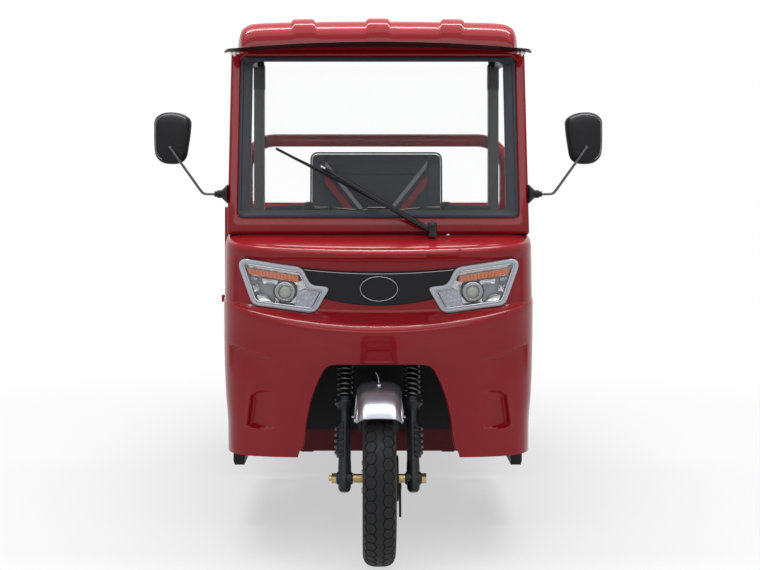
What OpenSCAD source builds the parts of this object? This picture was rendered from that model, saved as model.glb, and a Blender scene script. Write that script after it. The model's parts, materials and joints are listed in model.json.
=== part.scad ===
// Electric cargo tricycle: enclosed front with windscreen and roof, open sides, cargo bed behind.
// Modules are drawn from the ground point under the front axle: front at -Y, +Z up, millimetres.

/* [Wheels] */
// Distance from the front axle to the rear axle
wheelbase = 1960; // [1900:10:2020]
// Radius of every wheel over the tyre
wheel_r = 250; // [244:1:254]
// Width of every tyre
tyre_w = 96; // [90:1:100]
// Radius of the rim where the tyre seats
rim_r = 152; // [146:1:156]
// Distance between the middles of the rear tyres
rear_track = 960; // [930:5:980]
// Radius of the front axle rod
axle_r = 8; // [7:0.5:9]
// Radius of the rear axle stubs
stub_r = 15; // [13:0.5:17]

/* [Steering] */
// Lean of the steering axis from upright, degrees
rake = 24; // [22:0.5:25]
// Distance of the fork legs ahead of the steering axis
fork_offset = 30; // [26:1:34]
// Distance between the fork legs
fork_gap = 202; // [196:1:210]
// Radius of the lower fork legs
leg_r = 24; // [21:0.5:26]
// Radius of the steering shaft
shaft_r = 16; // [14:0.5:18]
// Half width of the handlebar
bar_reach = 360; // [330:5:365]
// Height of the handlebar grips
bar_z = 1030; // [1020:2:1040]

/* [Cab] */
// Width of the cab over the front corners
cab_w = 958; // [950:2:966]
// Height of the cab floor
floor_z = 315; // [310:1:322]
// Height of the rear edge of the bonnet
cowl_z = 958; // [955:1:962]
// Distance of the rear edge of the front body behind the front axle
cab_front_y = 420; // [416:1:426]
// Lean of the windscreen from upright, degrees
screen_lean = 12; // [11:0.5:13]
// Height of the windscreen frame along its slope
screen_h = 594; // [590:1:596]
// Width of the black border of the windscreen
border_w = 38; // [30:1:44]
// Height of the roof at the middle of its crown
roof_z = 1676; // [1672:2:1690]
// Height of the three ribs on the roof
rib_h = 10; // [6:1:14]
// Side of the square posts behind the seat
post_w = 38; // [34:1:42]

/* [Seat] */
// Width of the seat
seat_w = 510; // [480:5:540]
// Height of the seat box
seat_box_z = 655; // [645:1:665]
// Thickness of the seat cushion
cushion_t = 85; // [75:1:95]
// Height of the seat back
back_h = 500; // [470:5:510]

/* [Cargo bed] */
// Width of the cargo bed over its sides
bed_w = 1146; // [1130:2:1160]
// Length of the cargo bed floor
bed_len = 1450; // [1420:5:1480]
// Height of the bed floor
bed_z = 690; // [684:1:700]
// Height of the bed sides above the floor
side_h = 340; // [310:5:350]
// Height of the guard hoop above the bed floor
hoop_h = 616; // [590:2:640]
// Radius of the guard hoop tube
hoop_r = 24; // [21:0.5:26]

/* [Hidden] */
$fn = 48;
eps = 0.3;
run = 0.05;
axle_z = wheel_r;
bed_y0 = wheelbase - 860 - 0.35 * (bed_len - 1450);
bed_y1 = bed_y0 + bed_len;
rear_y = bed_y1 + 70;
mid_y = (rear_y - wheel_r) / 2;
post_y = bed_y0 - 2 * hoop_r - post_w - 2;
post_x = cab_w / 2 - 43;
seat_y0 = bed_y0 - 405;
floor_end = seat_y0 + 115;
rail_x = 230;
rail_w = 40;
rail_h = 60;
rail_low = floor_z - 75;
rail_high = bed_z - 140;
fork_x = fork_gap / 2;
hub_half = 45;
rear_x = rear_track / 2;

// Plain helpers: extrusions along each axis, boxes by corners, rods by end points, mirrored pairs.
module along_x(a, b) translate([a, 0, 0]) rotate([90, 0, 90]) linear_extrude(b - a) children();
module along_y(a, b) translate([0, b, 0]) rotate([90, 0, 0]) linear_extrude(b - a) children();
module along_z(a, b) translate([0, 0, a]) linear_extrude(b - a) children();
module block(lo, hi) translate(lo) cube(hi - lo);
module both_sides() {
    children();
    mirror([1, 0, 0]) children();
}
module rod(a, b, r) {
    d = b - a;
    l = norm(d);
    translate(a) rotate([0, acos(d[2] / l), atan2(d[1], d[0])]) cylinder(r = r, h = l);
}
module x_rod(x0, x1, r) translate([x0, 0, 0]) rotate([0, 90, 0]) cylinder(r = r, h = x1 - x0);

// Moves an outline outwards by d, corner by corner (points run anticlockwise).
function unit(v) = v / norm(v);
function outset(p, d) = [for (i = [0 : len(p) - 1])
    let (n = len(p), e = unit(p[i] - p[(i + n - 1) % n]), f = unit(p[(i + 1) % n] - p[i]),
        a = [e[1], -e[0]], b = [f[1], -f[0]])
    p[i] + (a + b) * d / (1 + a * b)];
function mirrored(p) = concat(p, [for (i = [len(p) - 1 : -1 : 0]) [-p[i][0], p[i][1]]]);

// Closed skin between two grids of points of one size.
function quads(r, c, o, turn) = [for (i = [0 : r - 2], j = [0 : c - 2])
    let (a = o + i * c + j, b = a + 1, d = a + c, e = d + 1)
    each turn ? [[a, b, e], [a, e, d]] : [[a, e, b], [a, d, e]]];
function rim(u, v, turn) = [for (i = [0 : len(u) - 2])
    each turn ? [[u[i], u[i + 1], v[i + 1]], [u[i], v[i + 1], v[i]]]
        : [[u[i], v[i + 1], u[i + 1]], [u[i], v[i], v[i + 1]]]];
module skin(outer, inner) {
    r = len(outer);
    c = len(outer[0]);
    n = r * c;
    low = [for (j = [0 : c - 1]) j];
    high = [for (j = [0 : c - 1]) (r - 1) * c + j];
    left = [for (i = [0 : r - 1]) i * c];
    right = [for (i = [0 : r - 1]) i * c + c - 1];
    polyhedron(points = concat([for (g = outer) each g], [for (g = inner) each g]),
        faces = concat(quads(r, c, 0, false), quads(r, c, n, true),
            rim(low, [for (k = low) k + n], true), rim(high, [for (k = high) k + n], false),
            rim(left, [for (k = left) k + n], false), rim(right, [for (k = right) k + n], true)));
}

// Chassis: two box rails that step up behind the seat, with cross tubes and bed beams on them.
module frame_rails() color("#1b1b1d") both_sides() along_x(rail_x - rail_w / 2, rail_x + rail_w / 2)
    polygon([[cab_front_y + 10 + eps, rail_low], [bed_y0 - 260, rail_low],
        [bed_y0 - 20, rail_high], [bed_y1 - 20, rail_high], [bed_y1 - 20, rail_high + rail_h],
        [bed_y0 - 40, rail_high + rail_h], [bed_y0 - 280, rail_low + rail_h],
        [cab_front_y + 10 + eps, rail_low + rail_h]]);

module cross_members() color("#1b1b1d") {
    inner = rail_x - rail_w / 2;
    for (y = [cab_front_y + 12, bed_y0 - 340])
        block([-inner, y, rail_low + 5], [inner, y + 40, rail_low + rail_h - 5]);
    for (y = [bed_y0 + 20, bed_y0 + 470, bed_y1 - 70])
        block([-inner, y, rail_high + 5], [inner, y + 40, rail_high + rail_h - 5]);
    for (i = [0 : 4])
        translate([0, bed_y0 + i * (bed_len - 50) / 4, 0])
            block([-bed_w / 2, 0, rail_high + rail_h], [bed_w / 2, 50, bed_z - 20]);
}

// Steering axis: local z runs up the axis, local -y points ahead.
module on_steer() translate([0, fork_offset * cos(rake), axle_z - fork_offset * sin(rake)])
    rotate([-rake, 0, 0]) children();
head_low = 456;
head_high = 640;
function steer_y(z) = fork_offset * cos(rake) + (z - axle_z + fork_offset * sin(rake)) * tan(rake);

module steering_head() color("#1b1b1d") difference() {
    union() {
        on_steer() translate([0, 0, head_low]) cylinder(r = shaft_r + 14, h = head_high - head_low);
        along_x(-22, 22) polygon([[steer_y(800), 800], [steer_y(690), 690],
            [cab_front_y - 70, floor_z + 60], [cab_front_y - 30, rail_low + 10],
            [cab_front_y, rail_low + 10], [cab_front_y, floor_z], [cab_front_y - 30, floor_z + 110],
            [steer_y(800) + 40, 790]]);
    }
    on_steer() translate([0, 0, head_low - 50]) cylinder(r = shaft_r + run, h = head_high);
}

// Cab floor: plate with a front and two side lips, the brake pedal comes up through a slot.
pan_x = cab_w / 2 - 49;
module floor_pan() color("#8d1420") difference() {
    union() {
        block([-pan_x, cab_front_y, floor_z - 15], [pan_x, floor_end, floor_z]);
        along_y(cab_front_y, cab_front_y + 10)
            polygon(mirrored([[pan_x - 40, rail_low + 5], [pan_x, floor_z - 15], [pan_x - 10, floor_z]]));
        both_sides() block([pan_x - 12, cab_front_y, rail_low + 30], [pan_x, floor_end, floor_z]);
    }
    block([-318, cab_front_y + 40, 0], [-282, cab_front_y + 125, floor_z + 1]);
}

module side_sills() color("#18181a") both_sides() along_y(cab_front_y + 12, post_y + post_w + 12)
    polygon([[pan_x + eps, floor_z - 15], [pan_x + 6, floor_z - 118], [pan_x + 38, floor_z - 118],
        [pan_x + 42, floor_z - 104], [pan_x + 42, floor_z - 15]]);

// Front body: rows of height, rise at the corner, half width, nose position and sweep of the corner.
fascia_t = 12;
corner_n = 7;
fascia_rows = [
    [300, 0, -13, 48, 22],
    [380, 0, -12, 40, 30],
    [470, 4, -5, 26, 44],
    [560, 14, -1, 4, 64],
    [630, 36, 0, -28, 92],
    [664, 58, 0, -53, 111],
    [681, 66, 0, -62, 118],
    [690, 66, 0, -59, 116],
    [722, 42, -1, -16, 84],
    [742, 26, -2, 9, 62],
    [884, 8, -3, 16, 66],
    [896, 8, -3, -8, 88],
    [908, 9, -3, -14, 92],
    [922, 10, -4, -2, 84],
    [940, 8, -5, 90, 40],
    [958, 0, -7, 205, 8]];
side_s = [0, 0.4, 0.7, 0.83];
function other(a) = pow(1 - pow(abs(a), corner_n), 1 / corner_n);
fascia_cols = concat([for (s = side_s) [-other(s), s]],
    [for (q = [-0.9 : 0.1 : 0.91]) [q, other(q)]],
    [for (i = [len(side_s) - 1 : -1 : 0]) [other(side_s[i]), side_s[i]]]);
function fascia_pt(r, c, t) =
    let (hw = cab_w / 2 + r[2] - t, nose = r[3] + r[4] * c[0] * c[0] + t)
    [hw * c[0], cab_front_y - (cab_front_y - nose) * c[1],
        r[0] + r[1] * c[0] * c[0] + cowl_z - 958 - (r[0] > 890 ? t : 0)];
function fascia_grid(t) = [for (r = fascia_rows) [for (c = fascia_cols) fascia_pt(r, c, t)]];
arch = [[224, 280], [224, 353], [217, 418], [202, 484], [179, 543], [153, 588]];
lamp = [[142, 811], [164, 774], [182, 740], [200, 732], [378, 752], [420, 868], [418, 884], [402, 893],
    [227, 869], [202, 817]];
amber = [[239, 823], [389, 845], [394, 864], [240, 842]];
grille = [[-175, 779], [0, 757], [175, 779], [215, 816], [238, 868], [0, 855], [-238, 868], [-215, 816]];

// Pressed fields: outline, depth at the outer and the inner edge, first and last row of the patch.
fields = [
    [[[300, 388], [386, 388], [393, 396], [380, 484], [358, 499], [312, 503]], 8, -1.5, 1, 4],
    [[[300, 592], [306, 552], [424, 560], [438, 630]], 7.5, -1, 2, 5]];
function field_grid(f, deep) = [for (i = [f[3] : f[4]]) [for (q = [0.56 : 0.06 : 0.93])
    fascia_pt(fascia_rows[i], [q, other(q)], deep ? f[2] + (f[1] - f[2]) * (q - 0.6) / 0.24 : -14)]];
badge_plate = [[44, 592], [36, 630], [-36, 630], [-44, 592]];
module pressed_fields() {
    both_sides() for (f = fields)
        intersection() {
            along_y(-100, 330) polygon(f[0]);
            skin(field_grid(f, false), field_grid(f, true));
        }
    intersection() {
        along_y(-100, 60) polygon(badge_plate);
        skin([for (r = [3, 4]) [for (q = [-0.12, 0.12]) fascia_pt(fascia_rows[r], [q, 1], -14)]],
            [for (r = [3, 4]) [for (q = [-0.12, 0.12]) fascia_pt(fascia_rows[r], [q, 1], 4)]]);
    }
}

module front_fascia() color("#c4161c") difference() {
    union() {
        skin(fascia_grid(0), fascia_grid(fascia_t));
        block([141, 110, cowl_z - 26], [242, 175, cowl_z - 3]);
    }
    along_y(-300, 330) polygon(mirrored(arch));
    both_sides() along_y(-100, 150) polygon(outset(lamp, 0.6));
    along_y(-100, 60) polygon(outset(grille, 0.6));
    pressed_fields();
}

// Curved slab in front of the body that lamps and the strip between them are cut from.
lamp_r = 1300;
module bowed(front, depth) difference() {
    translate([0, front + lamp_r, 700]) cylinder(r = lamp_r, h = 240, $fn = 720);
    translate([0, front + depth + lamp_r, 690]) cylinder(r = lamp_r, h = 260, $fn = 720);
}
function oval(x, z) = [for (a = [0 : 10 : 350]) [x * cos(a), 806 + z * sin(a)]];

module grille_panel() color("#151517") {
    intersection() {
        bowed(8, 30);
        along_y(-60, 120) difference() {
            polygon(grille);
            for (s = [0, 1])
                mirror([s, 0]) polygon(outset(lamp, 0.6));
        }
    }
    intersection() {
        bowed(5, 6);
        along_y(-60, 120) difference() {
            polygon(oval(57, 38));
            polygon(oval(53, 34));
        }
    }
}

// Headlamps: deep shell with a raised bezel, projector and amber strip on its back, clear cover.
bezel = 14;
shell_deep = 29;
projector = [279, 795];
module headlamps() color("#c9ccd2") both_sides() difference() {
    intersection() {
        bowed(3, 45);
        along_y(-60, 200) polygon(lamp);
    }
    intersection() {
        bowed(-20, 23 + shell_deep);
        along_y(-60, 200) polygon(outset(lamp, -bezel));
    }
}

module lamp_projectors() color("#b9bdc4") both_sides() {
    sag = lamp_r - sqrt(lamp_r * lamp_r - projector[0] * projector[0]);
    intersection() {
        bowed(14, shell_deep - 11 - eps);
        translate([projector[0], 0, projector[1]]) rotate([-90, 0, 0]) cylinder(r = 30, h = 200);
    }
    intersection() {
        bowed(7, 15);
        translate([projector[0], 29 + sag, projector[1]]) sphere(r = 20);
    }
}

module lamp_indicators() color("#e08a1e") both_sides() intersection() {
    bowed(10, shell_deep - 7 - eps);
    along_y(-60, 200) polygon(amber);
}

module lamp_covers() color("#dfe6ea") both_sides() intersection() {
    bowed(3, 3);
    along_y(-60, 200) polygon(outset(lamp, -bezel - eps));
}

// Windscreen plane: local x across, local y up the slope, local z out of the glass.
screen_y = 225;
screen_z = cowl_z + 5.5;
module on_screen() translate([0, screen_y, screen_z]) rotate([90 - screen_lean, 0, 0]) children();
frame_x = cab_w / 2 - 9;
pane_x = frame_x - 32;
pane_low = 46;
pane_high = screen_h - 33;
module rounded(x, y0, y1, r) {
    translate([-x + r, y0]) square([2 * (x - r), y1 - y0]);
    translate([-x, y0 + r]) square([2 * x, y1 - y0 - 2 * r]);
    for (i = [-1, 1], y = [y0 + r, y1 - r])
        translate([i * (x - r), y]) circle(r = r);
}

module windscreen_frame() color("#c4161c") on_screen() translate([0, 0, -24]) linear_extrude(32)
    difference() {
        translate([-frame_x, 0]) square([2 * frame_x, screen_h]);
        rounded(pane_x + eps, pane_low - eps, pane_high + eps, 18);
    }

module windscreen_seal() color("#1d1f22") on_screen() translate([0, 0, -8]) linear_extrude(12)
    difference() {
        rounded(pane_x, pane_low, pane_high, 18);
        rounded(pane_x - border_w, pane_low + 26, pane_high - 20, 20);
    }

module windscreen_glass() color("#cfe0e6") on_screen() translate([0, 0, -5]) linear_extrude(5)
    rounded(pane_x - border_w - eps, pane_low + 26 + eps, pane_high - 20 - eps, 20);

module wiper() color("#111113") {
    foot = [165, 145, cowl_z - 3 + eps];
    translate(foot) cylinder(r = 13, h = 40);
    on_screen() {
        rod([165, -6, 38], [-163, 197, 26], 6);
        rod([-321, 266, 16], [0, 96, 16], 6);
        rod([-163, 197, 14], [-163, 197, 28], 8);
    }
    rod(foot + [0, 0, 34], [165, 195, 970], 7);
}

// Mirrors: cone on the front pillar, bent stalk, moulded head.
mirror_y = 248;
function arc(c, r, a, b) = [for (i = [0 : 4]) c + r * [cos(a + (b - a) * i / 4), sin(a + (b - a) * i / 4)]];
mirror_face = concat(arc([610, 1192], 16, 190, 270), arc([678, 1192], 16, 270, 350),
    arc([677, 1314], 26, 0, 90), arc([611, 1312], 28, 90, 180));
module mirrors() color("#141416") both_sides() translate([frame_x - 470, mirror_y, 0]) {
    translate([470 + eps, 0, 1084]) rotate([0, 90, 0]) {
        cylinder(r1 = 30, r2 = 14, h = 18);
        cylinder(r = 12, h = 34);
    }
    rod([500, 0, 1084], [549, 0, 1084], 5);
    translate([549, 0, 1084]) sphere(r = 6.5);
    rod([549, 0, 1084], [642, 0, 1218], 5);
    intersection() {
        along_y(-26, 16) polygon(mirror_face);
        translate([643, 274, 1256]) sphere(r = 300, $fn = 200);
    }
}

// Roof: rows of share of the length, half width and crown drop, with three ribs pressed along it.
roof_t = 18;
roof_front = 318;
roof_back = bed_y0 - 10;
roof_rows = [[0, -46, 112], [0.012, -43, 78], [0.04, -36, 52], [0.09, -28, 34], [0.17, -21, 20],
    [0.3, -17, 8], [0.5, -16, 1], [0.75, -16, 0], [0.9, -18, 6], [0.97, -22, 22], [1, -28, 44]];
rib_x = 256;
rib_w = 80;
roof_side = [1, 0.996, 0.985, 0.96, 0.92, 0.85, 0.75];
function roof_edge(y) = 1548 + (y - roof_front) * 0.041;
roof_cols = concat([for (q = roof_side) [-q, 0]],
    [for (i = [-1 : 1], e = [[-0.55, 0], [-0.45, 1], [0.45, 1], [0.55, 0]])
        [(i * rib_x + e[0] * rib_w) * 2 / cab_w, e[1]]],
    [for (i = [len(roof_side) - 1 : -1 : 0]) [roof_side[i], 0]]);
function roof_grid(t) = [for (r = roof_rows) [for (c = roof_cols)
    let (y = roof_front + r[0] * (roof_back - roof_front), edge = roof_edge(y),
        top = roof_z - r[2] - 8 * c[0] * c[0], k = pow(1 - pow(abs(c[0]), 24), 1 / 3))
    [(cab_w / 2 + r[1] - t) * c[0], y,
        edge + (top - edge) * k - t * k + c[1] * rib_h * (r[2] > 60 ? 0.3 : 1)]]];

module roof() color("#c4161c") skin(roof_grid(0), roof_grid(roof_t));

module sun_visor() color("#3a0d12") intersection() {
    along_y(185, roof_front - eps) difference() {
        translate([0, 1557 - 6600]) circle(r = 6600, $fn = 400);
        translate([0, 1551 - 6600]) circle(r = 6600, $fn = 400);
    }
    along_z(1500, 1600) intersection() {
        translate([-cab_w / 2 - 9, 180]) square([cab_w + 18, 140]);
        translate([0, 185 + 2200]) circle(r = 2200, $fn = 400);
    }
}

module cab_posts() color("#5c5f64") both_sides() {
    block([post_x - post_w / 2, post_y, floor_z - 15 + eps], [post_x + post_w / 2, post_y + post_w, 1560]);
    along_x(post_x + 2, post_x + 28) polygon([[378, roof_edge(378) - 30], [378, roof_edge(378) - eps],
        [post_y + post_w, roof_edge(post_y + post_w) - eps], [post_y + post_w, 1550]]);
}

module dashboard() color("#2a2b2e") difference() {
    union() {
        along_x(-cab_w / 2 + 40, cab_w / 2 - 40) polygon([[264, 936], [264, 985], [330, 988],
            [cab_front_y + 22, 962], [cab_front_y + 28, 936]]);
        along_x(-105, 105) polygon([[268, 980], [268, 1008], [276, 1014], [292, 1008], [292, 980]]);
    }
    block([-85, 292 + eps, 900], [85, cab_front_y + 40, 1000]);
    for (x = [[-380, -150], [150, 380]])
        along_x(x[0], x[1]) polygon([[345, 952], [345, 1000], [cab_front_y + 4, 1000], [cab_front_y + 4, 952]]);
}

module leg_shield() color("#1f2022") along_y(cab_front_y + eps, cab_front_y + 12)
    polygon(mirrored([[pan_x + 10, floor_z + eps], [cab_w / 2 - 8, floor_z + 60], [cab_w / 2 - 8, 935.7]]));

module brake_pedal() color("#161618") {
    translate([0, cab_front_y + 105, rail_low - 8 - eps]) x_rod(-342, -216, 8);
    along_x(-307, -293) polygon([[cab_front_y + 97, rail_low - 12], [cab_front_y + 113, rail_low - 12],
        [cab_front_y + 113, floor_z + 30], [cab_front_y + 84, floor_z + 114],
        [cab_front_y + 68, floor_z + 102], [cab_front_y + 97, floor_z + 30]]);
    along_x(-330, -270) polygon([[cab_front_y + 50, floor_z + 96], [cab_front_y + 58, floor_z + 88],
        [cab_front_y + 96, floor_z + 120], [cab_front_y + 88, floor_z + 128]]);
}

// Seat: open-backed steel box with the cushion on it and the back standing on the cushion.
box_x = post_x - post_w / 2 - 0.5;
module seat_base() color("#8d1420") difference() {
    block([-box_x, seat_y0, floor_z], [box_x, post_y + post_w, seat_box_z]);
    block([-box_x + 12, seat_y0 + 12, floor_z - 1], [box_x - 12, post_y + post_w + 1, seat_box_z - 12]);
}

module seat_cushion() color("#3a4148") along_x(-seat_w / 2 - 8, seat_w / 2 + 8)
    polygon([[seat_y0 + 5, seat_box_z + eps], [seat_y0 + 5, seat_box_z + cushion_t - 15],
        [seat_y0 + 25, seat_box_z + cushion_t], [post_y + 30, seat_box_z + cushion_t],
        [post_y + 30, seat_box_z + eps]]);

module seat_back() color("#3a4148") {
    z0 = seat_box_z + cushion_t + eps;
    along_x(-seat_w / 2, seat_w / 2) polygon([[post_y - 70, z0], [post_y - 10, z0],
        [post_y + 48, z0 + back_h - 18], [post_y + 34, z0 + back_h], [post_y + 10, z0 + back_h],
        [post_y - 10, z0 + back_h - 20]]);
}

module battery_box() color("#202225") block([-185, bed_y0 + 60 + eps, rail_high - 150],
    [185, bed_y0 + 470 - eps, rail_high + rail_h - 8]);

// Cargo bed: floor plate, crowned front wall, ribbed side walls and a drop gate on pins.
bed_x = bed_w / 2;
module bed_floor() color("#a81a22") block([-bed_x + 28 + eps, bed_y0 + 20 + eps, bed_z - 20],
    [bed_x - 28 - eps, bed_y1, bed_z]);

module bed_front() color("#c4161c") along_y(bed_y0, bed_y0 + 20)
    polygon(mirrored([[bed_x, bed_z - 20], [bed_x, bed_z + side_h], [bed_x - 40, bed_z + side_h],
        [bed_x - 60, bed_z + side_h - 25], [bed_x - 130, bed_z + side_h - 18],
        [bed_x - 240, bed_z + side_h + 12]]));

module bed_sides() color("#c4161c") both_sides() {
    block([bed_x - 24, bed_y0 + 20, bed_z - 20], [bed_x - 12, bed_y1, bed_z + side_h]);
    block([bed_x - 28, bed_y0 + 20, bed_z - 20], [bed_x, bed_y1, bed_z + 24]);
    block([bed_x - 28, bed_y0 + 20, bed_z + side_h - 36], [bed_x, bed_y1, bed_z + side_h]);
    for (i = [0 : 5])
        translate([0, bed_y0 + 20 + i * (bed_len - 60) / 5, 0])
            block([bed_x - 24, 0, bed_z], [bed_x - 2, 40, bed_z + side_h]);
    for (i = [0 : 3])
        translate([bed_x - 6, bed_y0 + 60 + i * (bed_len - 120) / 3, bed_z - 2]) {
            x_rod(0, 22, 5);
            translate([20, 0, -22]) cylinder(r = 5, h = 26);
        }
}

hoop_bend = 106;
module guard_hoop() color("#c4161c") {
    x = bed_x - 85;
    z = bed_z + hoop_h - hoop_r;
    translate([0, bed_y0 - hoop_r - eps, 0]) {
        both_sides() {
            translate([x, 0, bed_z + 10]) cylinder(r = hoop_r, h = z - hoop_bend - bed_z - 10);
            translate([x - hoop_bend, 0, z - hoop_bend]) rotate([90, 0, 0])
                rotate_extrude(angle = 90) translate([hoop_bend, 0]) circle(r = hoop_r);
        }
        translate([0, 0, z]) x_rod(-x + hoop_bend, x - hoop_bend, hoop_r);
    }
}

pin_r = 6;
gate_y = bed_y1 + 27;
gate_z = bed_z - 32;
hinge_xs = [-420, 420];
module gate_hinges() color("#2a2b2e") for (x = hinge_xs) translate([x, 0, 0]) {
    translate([0, gate_y, gate_z]) x_rod(-56, 56, pin_r);
    for (s = [-1, 1])
        along_x(s * 53 - 3, s * 53 + 3) polygon([[bed_y1 + eps, gate_z - 12], [bed_y1 + eps, bed_z - 1],
            [bed_y1 + 4, bed_z - 1], [gate_y + 10, gate_z + 8], [gate_y + 10, gate_z - 8],
            [gate_y, gate_z - 12]]);
    block([-50, bed_y1 + eps, gate_z - 12], [50, bed_y1 + 4, bed_z - 1]);
}

module tailgate() color("#c4161c") difference() {
    union() {
        block([-bed_x, bed_y1 + 5, bed_z + 6], [bed_x, bed_y1 + 15, bed_z + side_h]);
        for (z = [bed_z + 6, bed_z + side_h - 36])
            block([-bed_x, bed_y1 + 5, z], [bed_x, bed_y1 + 23, z + 36]);
        for (i = [-2 : 2])
            translate([i * (bed_x - 25) / 2, 0, 0])
                block([-22, bed_y1 + 5, bed_z + 6], [22, bed_y1 + 21, bed_z + side_h]);
        for (x = hinge_xs) translate([x, 0, 0]) {
            translate([0, gate_y, gate_z]) x_rod(-44, 44, pin_r + 6);
            along_x(-30, 30) polygon([[gate_y - 4, gate_z], [gate_y + 8, gate_z], [gate_y + 4, bed_z + 60],
                [bed_y1 + 22, bed_z + 60], [bed_y1 + 22, bed_z + 6]]);
        }
    }
    for (x = hinge_xs)
        translate([x, gate_y, gate_z]) x_rod(-60, 60, pin_r + run);
}

// Rear suspension and drive.
spring_r = 726;
spring_half = 0.276 * bed_len;
module leaf_springs() color("#26272a") both_sides() translate([0, wheelbase, axle_z + 40]) {
    for (k = [0 : 3])
        along_x(rail_x - 25, rail_x + 25) intersection() {
            translate([0, spring_r]) difference() {
                circle(r = spring_r - k * 8.4, $fn = 200);
                circle(r = spring_r - k * 8.4 - 8, $fn = 200);
            }
            translate([-190 - k * 70, -5]) square([380 + k * 140, 200]);
        }
    drop = spring_r - sqrt(pow(spring_r - 34, 2) - pow(spring_half, 2));
    for (s = [-1, 1]) {
        translate([0, s * spring_half, drop]) x_rod(rail_x - 26, rail_x + 26, 16);
        along_x(rail_x - 18, rail_x + 18) translate([s * spring_half, 0])
            polygon([[-20, drop], [20, drop], [20, rail_high - axle_z - 40 - eps],
                [-20, rail_high - axle_z - 40 - eps]]);
    }
}

module rear_axle() color("#2b2c2f") translate([0, wheelbase, axle_z]) {
    x_rod(-rear_x + 52, rear_x - 52, 30);
    x_rod(-rear_x - 58, rear_x + 58, stub_r);
    both_sides() {
        translate([rear_x - 62, 0, 0]) x_rod(0, 10, 78);
        translate([rear_x + 46, 0, 0]) rotate([0, 90, 0]) cylinder(r = 24, h = 16, $fn = 6);
        block([rail_x - 32, -40, 0], [rail_x + 32, 40, 40 - eps]);
    }
    translate([70, 0, 0]) x_rod(-55, 55, 96);
    translate([0, -170, 20]) {
        x_rod(-150, 90, 80);
        x_rod(-162, -150, 66);
    }
    block([30, -180, -50], [100, 0, 70]);
}

module mud_flaps() color("#161617") both_sides() block([rear_x - 62, bed_y1 - 56, axle_z + 60],
    [rear_x + 66, bed_y1 - 50 - eps, bed_z - 25]);

module tail_lamps() color("#b3161c") both_sides() along_x(rear_x - 40, rear_x + 70)
    polygon([[bed_y1 + eps, gate_z - 95], [bed_y1 + 30, gate_z - 92], [bed_y1 + 34, gate_z - 50],
        [bed_y1 + eps, gate_z - 46]]);

module rear_bumper() color("#1b1b1d") difference() {
    union() {
        block([-rear_x - 90, bed_y1 - 20 + eps, gate_z - 100], [rear_x + 90, bed_y1,
            rail_high + rail_h - eps]);
        both_sides() block([rail_x - 20, bed_y1 - 20 + eps, rail_high], [rail_x + 20, bed_y1, gate_z - 90]);
        block([-45, bed_y1 - 20 + eps, gate_z - 100], [45, rear_y, gate_z - 90]);
    }
    translate([0, rear_y - 28, gate_z - 120]) cylinder(r = 11, h = 60);
}

// Front fork and steering.
clamp_low = 425;
module fork_legs() color("#141415") difference() {
    both_sides() on_steer() translate([fork_x, -fork_offset, 0]) {
        translate([0, 0, -42]) cylinder(r = leg_r, h = 276);
        translate([0, 0, 222]) cylinder(r = leg_r + 7, h = 18);
        translate([0, 0, 200]) cylinder(r1 = leg_r - 1, r2 = leg_r + 5, h = 23);
        translate([0, 0, 230]) cylinder(r = 15, h = head_high + 28 - 230);
        rotate([0, 0, -80]) rotate_extrude(angle = 160) {
            translate([leg_r - 3, 62]) square([8, 98]);
            for (i = [0 : 4])
                translate([leg_r, 70 + i * 18]) square([9, 8]);
        }
    }
    translate([0, 0, axle_z]) x_rod(-200, 200, axle_r + 0.1);
}

// Coil spring: rings of points round a helix, joined ring by ring.
coil_turns = 11;
coil_n = 13;
wire_r = 4.8;
wire_n = 6;
module coil(low, high, r) {
    rings = coil_turns * coil_n;
    pts = [for (i = [0 : rings], k = [0 : wire_n - 1])
        let (a = 360 * i / coil_n, b = 360 * k / wire_n)
        [(r + wire_r * cos(b)) * cos(a), (r + wire_r * cos(b)) * sin(a),
            low + wire_r + (high - low - 2 * wire_r) * i / rings + wire_r * sin(b)]];
    sides = [for (i = [0 : rings - 1], k = [0 : wire_n - 1])
        let (a = i * wire_n + k, b = i * wire_n + (k + 1) % wire_n)
        each [[a, a + wire_n, b + wire_n], [a, b + wire_n, b]]];
    ends = [[for (k = [0 : wire_n - 1]) k], [for (k = [wire_n - 1 : -1 : 0]) rings * wire_n + k]];
    polyhedron(points = pts, faces = concat(sides, ends));
}
module fork_springs() color("#2a2a2c") both_sides() on_steer()
    translate([fork_x, -fork_offset, 0]) coil(240 + eps, clamp_low - eps, 22);

module clamp_plate() difference() {
    union() {
        for (s = [-1, 1])
            translate([s * fork_x, -fork_offset]) circle(r = 27);
        circle(r = 30);
        polygon(mirrored([[fork_x + 8, -fork_offset - 25], [fork_x + 8, -fork_offset + 25], [25, 24]]));
    }
    for (s = [-1, 1])
        translate([s * fork_x, -fork_offset]) circle(r = 15.1);
}

bar_y = steer_y(bar_z - 15);
module steering_stem() color("#232426") on_steer() {
    translate([0, 0, clamp_low]) linear_extrude(28) clamp_plate();
    translate([0, 0, head_high + 3]) linear_extrude(25) clamp_plate();
    translate([0, 0, clamp_low]) cylinder(r = shaft_r, h = 395);
    translate([0, 0, 810]) cylinder(r = shaft_r + 6, h = 30);
}

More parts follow.
